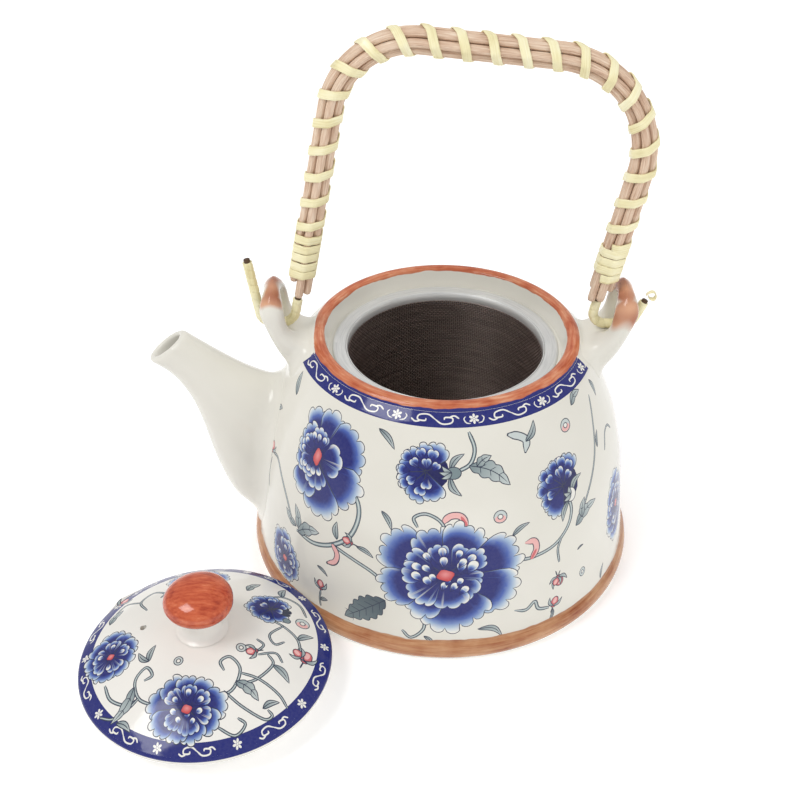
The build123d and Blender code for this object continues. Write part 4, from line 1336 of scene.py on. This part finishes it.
lid_edge = np.vstack([[(30.5, 12.0), (31.4, 2.0), (31.7, 0.3), (32.2, 0.0), (33.6, 0.0), (34.1, 0.3),
                       (34.4, 1.2), (34.4, 6.0),
                       (34.6, 8.6), (35.4, 9.6), (38.0, 9.75), (41.4, 9.8)],
                      arc((41.6, 9.8), (42.46, 11.3), (41.6, 12.9), 8)])
neck_line = [(8.6, 26.3), (7.2, 26.9), (6.45, 28.0), (6.2, 29.5), (6.2, 31.5), (6.6, 33.4), (7.4, 34.4)]
vent_wall = [(1.1, 22.9), (1.0, 22.3), (0.95, 19.0), (0.0, 18.9)]
vent = turned(vent_wall[::-1], 20, (LID_CENTRE[0] + VENT[0], LID_CENTRE[1] + VENT[1]))
underside = smooth_line([(0.5, 21.5), (12.0, 21.0), (22.0, 18.5), (30.5, 12.0)], 5)
under = turned(underside, SEGMENTS, LID_CENTRE)
edge_points, edge_faces, edge_normals, _ = turned(lid_edge, SEGMENTS, LID_CENTRE)
edge_paint = [np.tile((*BAND_BLUE, 1.0) if edge_points[face, 2].min() > 11.6 else np.zeros(4), (4, 1))
              for face in edge_faces]
painted_piece(
    "lid_shell_printed",
    [lid_patch(), (edge_points, edge_faces, edge_normals, edge_paint), (under[0], under[1], -under[2], None),
     vent,
     turned(neck_line[::-1], 80, LID_CENTRE)],
    "lid", "glaze", lid_skin_painted_light, ("lid_shell",),
)

# The knob: a flattened ball, a little uneven from the hand.
KNOB_Z, KNOB_RADIUS, KNOB_HALF = 39.2, 11.5, 6.3
tilt = np.linspace(-math.pi / 2, math.pi / 2, 37)
ball_rise = KNOB_HALF * np.sign(tilt) * np.abs(np.sin(tilt)) ** 0.94
ball = np.stack([KNOB_RADIUS * np.cos(tilt), KNOB_Z + ball_rise], -1)
knob_points, knob_faces = lathe(ball, 96, LID_CENTRE, closed=False)
wave = 1 - 0.012 * (1 + np.sin(3 * np.arctan2(knob_points[:, 1] - LID_CENTRE[1],
                                              knob_points[:, 0] - LID_CENTRE[0]) + 0.6))
knob_points[:, :2] = LID_CENTRE + (knob_points[:, :2] - LID_CENTRE) * wave[:, None]
piece("knob", knob_points, knob_faces, "lid", "knob_glaze", knob_skin, ("lid_knob",))


# ================================================================ handle
HANDLE_PATH = [(-50.6, 110.0), (-33.9, 197.2), (68.3, 186.3), (53.8, 110.0)]
HANDLE_BENDS = (26.5, 33.0)
CANE_RADIUS = 1.45
CANE_SPREAD = 2.94
CANE_ENDS = [(-1.0, 1.6), (4.6, 3.4), (1.0, 2.2), (2.6, 6.0), (3.8, 4.8), (-1.6, 1.0)]
CORE_STOP = 20.0
HOOK_IN_BUNDLE = 17.0
WRAP_START = HOOK_IN_BUNDLE + 6.3
WRAP_PITCH = 2.9
HOOK_LEFT = [(-53.7, SWING_Z), (-64.9, SWING_Z), (-68.7, 119.2)]
HOOK_LEFT_BENDS = (5.0, 4.0)
HOOK_RIGHT = [(50.8, SWING_Z), (65.4, SWING_Z), (69.4, 103.8)]
HOOK_RIGHT_BENDS = (4.4, 3.6)
chance = np.random.default_rng(3)


def rounded_path(corners, bends, start_extra=0.0, end_extra=0.0, spacing=0.8):
    """Evenly spaced points of an XZ polyline with rounded corners, with its directions and arc lengths."""
    p = [np.asarray(c, float) for c in corners]
    p[0] = p[0] - (p[1] - p[0]) / np.hypot(*(p[1] - p[0])) * start_extra
    p[-1] = p[-1] + (p[-1] - p[-2]) / np.hypot(*(p[-1] - p[-2])) * end_extra
    line = [p[0]]
    for before, corner, after, radius in zip(p, p[1:], p[2:], bends):
        a = (before - corner) / np.hypot(*(before - corner))
        b = (after - corner) / np.hypot(*(after - corner))
        half = math.acos(np.clip(a @ b, -1, 1)) / 2
        middle = corner + (a + b) / np.hypot(*(a + b)) * radius / math.sin(half)
        first, last = corner + a * radius / math.tan(half), corner + b * radius / math.tan(half)
        turns = [math.atan2(*(q - middle)[::-1]) for q in (first, last)]
        sweep = (turns[1] - turns[0] + math.pi) % TAU - math.pi
        angles = turns[0] + np.linspace(0, sweep, 40)
        line.extend(middle + radius * np.stack([np.cos(angles), np.sin(angles)], -1))
    line = np.array(line + [p[-1]])
    length = np.r_[0, np.cumsum(np.hypot(*np.diff(line, axis=0).T))]
    along = np.linspace(0, length[-1], int(length[-1] / spacing) + 1)
    points = np.stack([np.interp(along, length, line[:, n]) for n in (0, 1)], -1)
    direction = np.gradient(points, axis=0)
    direction /= np.hypot(*direction.T)[:, None]
    return points, direction, along


def in_space(flat):
    """XZ pairs as points with Y = 0."""
    return np.stack([flat[:, 0], np.zeros(len(flat)), flat[:, 1]], -1)


def outward(direction):
    """The side of an XZ path that is to the left of its direction."""
    return np.stack([-direction[:, 1], direction[:, 0]], -1)


def add_measure(made, name, values):
    """One number a point, for the fibre texture."""
    made.data.attributes.new(name, "FLOAT", "POINT").data.foreach_set("value",
                                                                      np.asarray(values, np.float32).ravel())


def rod(name, points, sides, radius, along, turns, body, slot, skin, replaces):
    """A round rod with fibre measures; radius may vary along it and round it."""
    ups = np.broadcast_to((0.0, 1.0, 0.0), points.shape)
    columns = radius.shape[1]
    angles = np.arange(columns) * TAU / columns
    shape = tube(points, sides, ups, radius * np.cos(angles), radius * np.sin(angles))
    made = piece(name, shape[0], shape[1], body, slot, skin, replaces)
    add_measure(made, "along", np.repeat(along, columns))
    add_measure(made, "around", np.tile(CANE_RADIUS * np.abs(angles - math.pi), len(points)) + turns)
    return made


SIDES = 20
bundle, bundle_direction, bundle_along = rounded_path(HANDLE_PATH, HANDLE_BENDS)
for index, (start_extra, end_extra) in enumerate(CANE_ENDS + [(-CORE_STOP, -CORE_STOP)]):
    angle = math.radians(60 * index + 30)
    away = CANE_SPREAD if index < 6 else 0.0
    path, direction, along = rounded_path(HANDLE_PATH, HANDLE_BENDS, start_extra, end_extra)
    side = outward(direction)
    centres = in_space(path + away * math.cos(angle) * side)
    centres[:, 1] = away * math.sin(angle)
    turns = np.arange(SIDES) * TAU / SIDES
    drift = 0.02 * np.sin(along / 17.0 + 2.1 * index)[:, None] + 0.015 * np.sin(along / 5.3 + index)[:, None]
    facets = 0.02 * np.sin(3 * turns + 1.7 * index)[None] + 0.012 * np.sin(7 * turns + index)[None]
    radius = CANE_RADIUS * (0.975 + drift * 0.6 - np.abs(facets))
    radius[[0, -1]] *= 0.82
    name = f"cane_{index + 1}" if index < 6 else "cane_core"
    rod(name + "_peeled", centres, in_space(side), radius, along, 11.0 * index, "handle", "cane", rattan,
        (name,))


def hull_radius(angle):
    """How far a strip stretched round the six canes reaches at an angle round the bundle."""
    from_cane = np.abs(angle % (math.pi / 3) - math.pi / 6)
    flat = (CANE_SPREAD * math.cos(math.pi / 6) + CANE_RADIUS) / np.cos(math.pi / 6 - from_cane)
    inside_cane = np.maximum(CANE_RADIUS**2 - (CANE_SPREAD * np.sin(from_cane)) ** 2, 0)
    cap = CANE_SPREAD * np.cos(from_cane) + np.sqrt(inside_cane)
    touch = math.atan2(CANE_RADIUS / 2, CANE_SPREAD + CANE_RADIUS * math.cos(math.pi / 6))
    return np.where(from_cane < touch, cap, flat)


def wound_strip(name, start, end, phase, pitch, width, replaces):
    """A flat strip wound left-handed round the bundle; pitch may change along it."""
    along = [start]
    turn = [0.0]
    while along[-1] < end:
        turn.append(turn[-1] + TAU / 48)
        along.append(along[-1] + np.interp(along[-1], *pitch) / 48)
    along, turn = np.array(along), phase - np.array(turn)
    centre = np.stack([np.interp(along, bundle_along, bundle[:, n]) for n in (0, 1)], -1)
    direction = np.stack([np.interp(along, bundle_along, bundle_direction[:, n]) for n in (0, 1)], -1)
    direction /= np.hypot(*direction.T)[:, None]
    side = outward(direction)
    inner = hull_radius(turn) + 0.06
    out = in_space(side * np.cos(turn)[:, None])
    out[:, 1] = np.sin(turn)
    middle = in_space(centre) + inner[:, None] * out
    run = np.gradient(middle, axis=0)
    run /= np.linalg.norm(run, axis=1)[:, None]
    across = np.cross(run, out)
    wander = 0.10 * np.sin(along * 0.9 + phase) + 0.06 * np.sin(along * 2.3)
    middle = middle + wander[:, None] * across
    half, thick = width / 2, 0.56
    ring_a = np.array([-half, -half * 0.97, -half * 0.8, -half * 0.3, half * 0.3, half * 0.8, half * 0.97,
                       half, half * 0.9, -half * 0.9])
    ring_b = np.array([thick * 0.35, thick * 0.72, thick * 0.88, thick, thick, thick * 0.88, thick * 0.72,
                       thick * 0.35, 0, 0])
    shape = tube(middle, across, out, ring_a, ring_b)
    made = piece(name, *shape, "handle", "strip", strip, replaces)
    travelled = np.r_[0, np.cumsum(np.linalg.norm(np.diff(middle, axis=0), axis=1))]
    add_measure(made, "along", np.repeat(travelled, 10))
    add_measure(made, "around", np.tile(ring_a, len(middle)))


length = bundle_along[-1]
wound_strip("binding_helix", 21.5, length - 16.0, 1.2,
            ([0, 21.0, 26.0, length - 21.0, length - 16.0], [3.6, 3.9, 9.3, 9.3, 4.2]), 3.0,
            ("binding_strip",))
wound_strip("whipping_left_turns", 4.2, 21.0, 0.4, ([0, length], [3.35, 3.35]), 3.05, ("whipping_left",))
wound_strip("whipping_right_turns", length - 15.6, length - 3.9, 2.0, ([0, length], [3.2, 3.2]), 3.05,
            ("whipping_right",))


def hook(side, corners, bends, core_node, wrap_node):
    """The hook's core, and the strip wound round its open length with a ridge at each turn."""
    end = HANDLE_PATH[0 if side < 0 else -1]
    other = HANDLE_PATH[1 if side < 0 else -2]
    run = (np.array(other) - end) / np.hypot(*(np.array(other) - end))
    path, direction, along = rounded_path([tuple(end + run * HOOK_IN_BUNDLE)] + corners, bends, spacing=0.22)
    sides = in_space(outward(direction))
    centres = in_space(path)
    turns = np.arange(18) * TAU / 18
    core = np.full((len(path), 18), 1.12)
    rod(core_node + "_cut", centres, sides, core, along, 3.0, "handle", "strip", cut_end, (core_node,))
    wound = (along > WRAP_START) & (along < along[-1] * 0.985)
    winding = (along[wound][:, None] / WRAP_PITCH + side * turns[None] / TAU) % 1.0
    ridge = 0.30 * np.minimum(1, np.minimum(winding, 1 - winding) / 0.13) ** 0.6
    taper = np.clip((along[-1] - along[wound]) / 1.2, 0, 1)[:, None]
    radius = 1.40 + ridge * (0.5 + 0.5 * taper) + 0.02 * np.sin(5 * turns + along[wound][:, None] * 0.8)
    rod(wrap_node + "_wound", centres[wound], sides[wound], radius, along[wound], 5.0, "handle", "strip",
        strip, (wrap_node,))


hook(-1, HOOK_LEFT, HOOK_LEFT_BENDS, "hook_left_core", "hook_left_wrap")
hook(1, HOOK_RIGHT, HOOK_RIGHT_BENDS, "hook_right_core", "hook_right_wrap")

# The loose curl at the right hook's tip: an open turn of strip.
tail_low, tail_high = (np.array(corner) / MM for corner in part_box("strip_tail"))
TAIL_POINTS = 40
TAIL_ACROSS = np.array([-1, -0.6, 0.6, 1, 0.6, -0.6])
TAIL_OUT = np.array([0, 0.22, 0.22, 0, -0.16, -0.16])
tail_turn = np.linspace(-2.6, 2.9, TAIL_POINTS)
tail_reach = np.linspace(1.0, (tail_high[0] - tail_low[0]) / 2 - 0.25, TAIL_POINTS)
tail_out = np.stack([np.cos(tail_turn), np.zeros(TAIL_POINTS), np.sin(tail_turn)], -1)
tail_centres = (tail_low + tail_high) / 2 + tail_reach[:, None] * tail_out
tail_centres[:, 1] += 0.25 * np.sin(2 * tail_turn)
tail_half = 1.35 * np.minimum(1, 0.55 + np.linspace(1, 0, TAIL_POINTS))[:, None]
tail_sides = np.broadcast_to((0.0, 1.0, 0.0), (TAIL_POINTS, 3))
tail = tube(tail_centres, tail_sides, tail_out, TAIL_ACROSS * tail_half, np.tile(TAIL_OUT, (TAIL_POINTS, 1)))
made = piece("strip_curl", *tail, "handle", "strip", strip, ("strip_tail",))
add_measure(made, "along", np.repeat(np.arange(TAIL_POINTS) * 0.4, len(TAIL_ACROSS)))
add_measure(made, "around", np.tile(TAIL_ACROSS, TAIL_POINTS))


# ================================================================ infuser
MESH_TOP_RADIUS, MESH_FLOOR_RADIUS = 34.75, 33.3
MESH_TOP_Z, MESH_FLOOR_Z = 82.4, 28.3
WIRE = 0.20

flange_line = [(35.65, 85.15), (38.0, 85.12), (39.6, 85.12), (40.15, 85.2), (40.3, 85.42), (40.1, 85.62),
               (39.5, 85.7),
               (38.6, 85.64), (36.9, 85.58), (36.2, 85.66), (35.75, 85.7), (35.62, 85.5)]
piece("infuser_flange_pressed", *lathe(flange_line, 200), "infuser", "flange_steel", flange_steel,
      ("infuser_flange",))
collar_low, collar_high = (corner.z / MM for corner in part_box("infuser_collar"))
collar_line = [(35.1, collar_low), (35.5, collar_low), (35.52, (collar_low + collar_high) / 2),
               (35.5, collar_high - 0.1),
               (35.35, collar_high), (35.12, collar_high - 0.1), (35.05, (collar_low + collar_high) / 2)]
piece("infuser_collar_rolled", *lathe(collar_line, 160), "infuser", "flange_steel", flange_steel,
      ("infuser_collar",))
seam_low, seam_high = (corner.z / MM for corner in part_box("infuser_seam_ring"))
seam_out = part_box("infuser_seam_ring")[1].x / MM
seam_line = [(seam_out - 0.62, seam_low), (seam_out - 0.1, seam_low + 0.15),
             (seam_out - 0.02, (seam_low + seam_high) / 2),
             (seam_out - 0.1, seam_high - 0.15), (seam_out - 0.62, seam_high)]
piece("infuser_seam_pressed", *lathe(seam_line, 160), "infuser", "mesh_steel", mesh_steel,
      ("infuser_seam_ring",))


def wires(lines, radius, closed=False):
    """Three-sided wires along many lines of the same length, shape (wires, points, 3)."""
    count, points = lines.shape[:2]
    run = np.roll(lines, -1, 1) - np.roll(lines, 1, 1)
    if not closed:
        run[:, 0], run[:, -1] = lines[:, 1] - lines[:, 0], lines[:, -1] - lines[:, -2]
    run /= np.linalg.norm(run, axis=2)[..., None]
    helper = np.where(np.abs(run[..., 2:]) < 0.8, (0.0, 0.0, 1.0), (0.0, 1.0, 0.0))
    side = np.cross(run, helper)
    side /= np.linalg.norm(side, axis=2)[..., None]
    up = np.cross(side, run)
    angles = np.array([math.pi / 2, math.pi * 7 / 6, math.pi * 11 / 6])
    around = np.cos(angles)[:, None] * side[:, :, None] + np.sin(angles)[:, None] * up[:, :, None]
    rings = lines[:, :, None] + radius * around
    one = grid_faces(points, 3, wrap_rows=closed)
    faces = (one[None] + (np.arange(count) * points * 3)[:, None, None]).reshape(-1, 4)
    return rings.reshape(-1, 3), faces


WARP, WEFT = 280, 70
heights = np.linspace(MESH_TOP_Z, MESH_FLOOR_Z, WEFT)
radii = np.interp(heights, [MESH_FLOOR_Z, MESH_TOP_Z], [MESH_FLOOR_RADIUS, MESH_TOP_RADIUS])
angles = np.arange(WARP) * TAU / WARP
weave = np.where((np.arange(WARP)[:, None] + np.arange(WEFT)[None]) % 2, 1.0, -1.0) * WIRE * 0.62


def basket(offset):
    """Where the wires run, each moved in or out by its part in the weave."""
    reach = radii[None] + offset
    return np.stack([reach * np.cos(angles)[:, None], reach * np.sin(angles)[:, None],
                     np.broadcast_to(heights, reach.shape)], -1)


piece("mesh_uprights", *wires(basket(weave), WIRE), "infuser", "mesh_steel", mesh_steel,
      ("infuser_mesh_wall",))
piece("mesh_hoops", *wires(basket(-weave).transpose(1, 0, 2), WIRE, closed=True), "infuser", "mesh_steel",
      mesh_steel,
      ("infuser_mesh_wall",))

PITCH = 0.80
FLOOR_REACH = MESH_FLOOR_RADIUS - 0.2
floor_parts = []
for number, place in enumerate(np.arange(-FLOOR_REACH + 0.6, FLOOR_REACH - 0.5, PITCH)):
    half = math.sqrt(FLOOR_REACH**2 - place**2)
    steps = np.arange(math.ceil(-half / PITCH), math.floor(half / PITCH) + 1)
    lift = np.where((steps + number) % 2, 1.0, -1.0) * WIRE * 0.6
    for hand in (0, 1):
        line = np.stack([steps * PITCH, np.full(len(steps), place), MESH_FLOOR_Z + (lift if hand else -lift)],
                        -1)
        if hand:
            line = line[:, [1, 0, 2]]
        if len(line) > 2:
            floor_parts.append(wires(line[None], WIRE * 0.9))
floor_points, floor_faces = joined(floor_parts)
piece("mesh_bottom", floor_points, floor_faces, "infuser", "mesh_steel", mesh_steel, ("infuser_mesh_floor",))
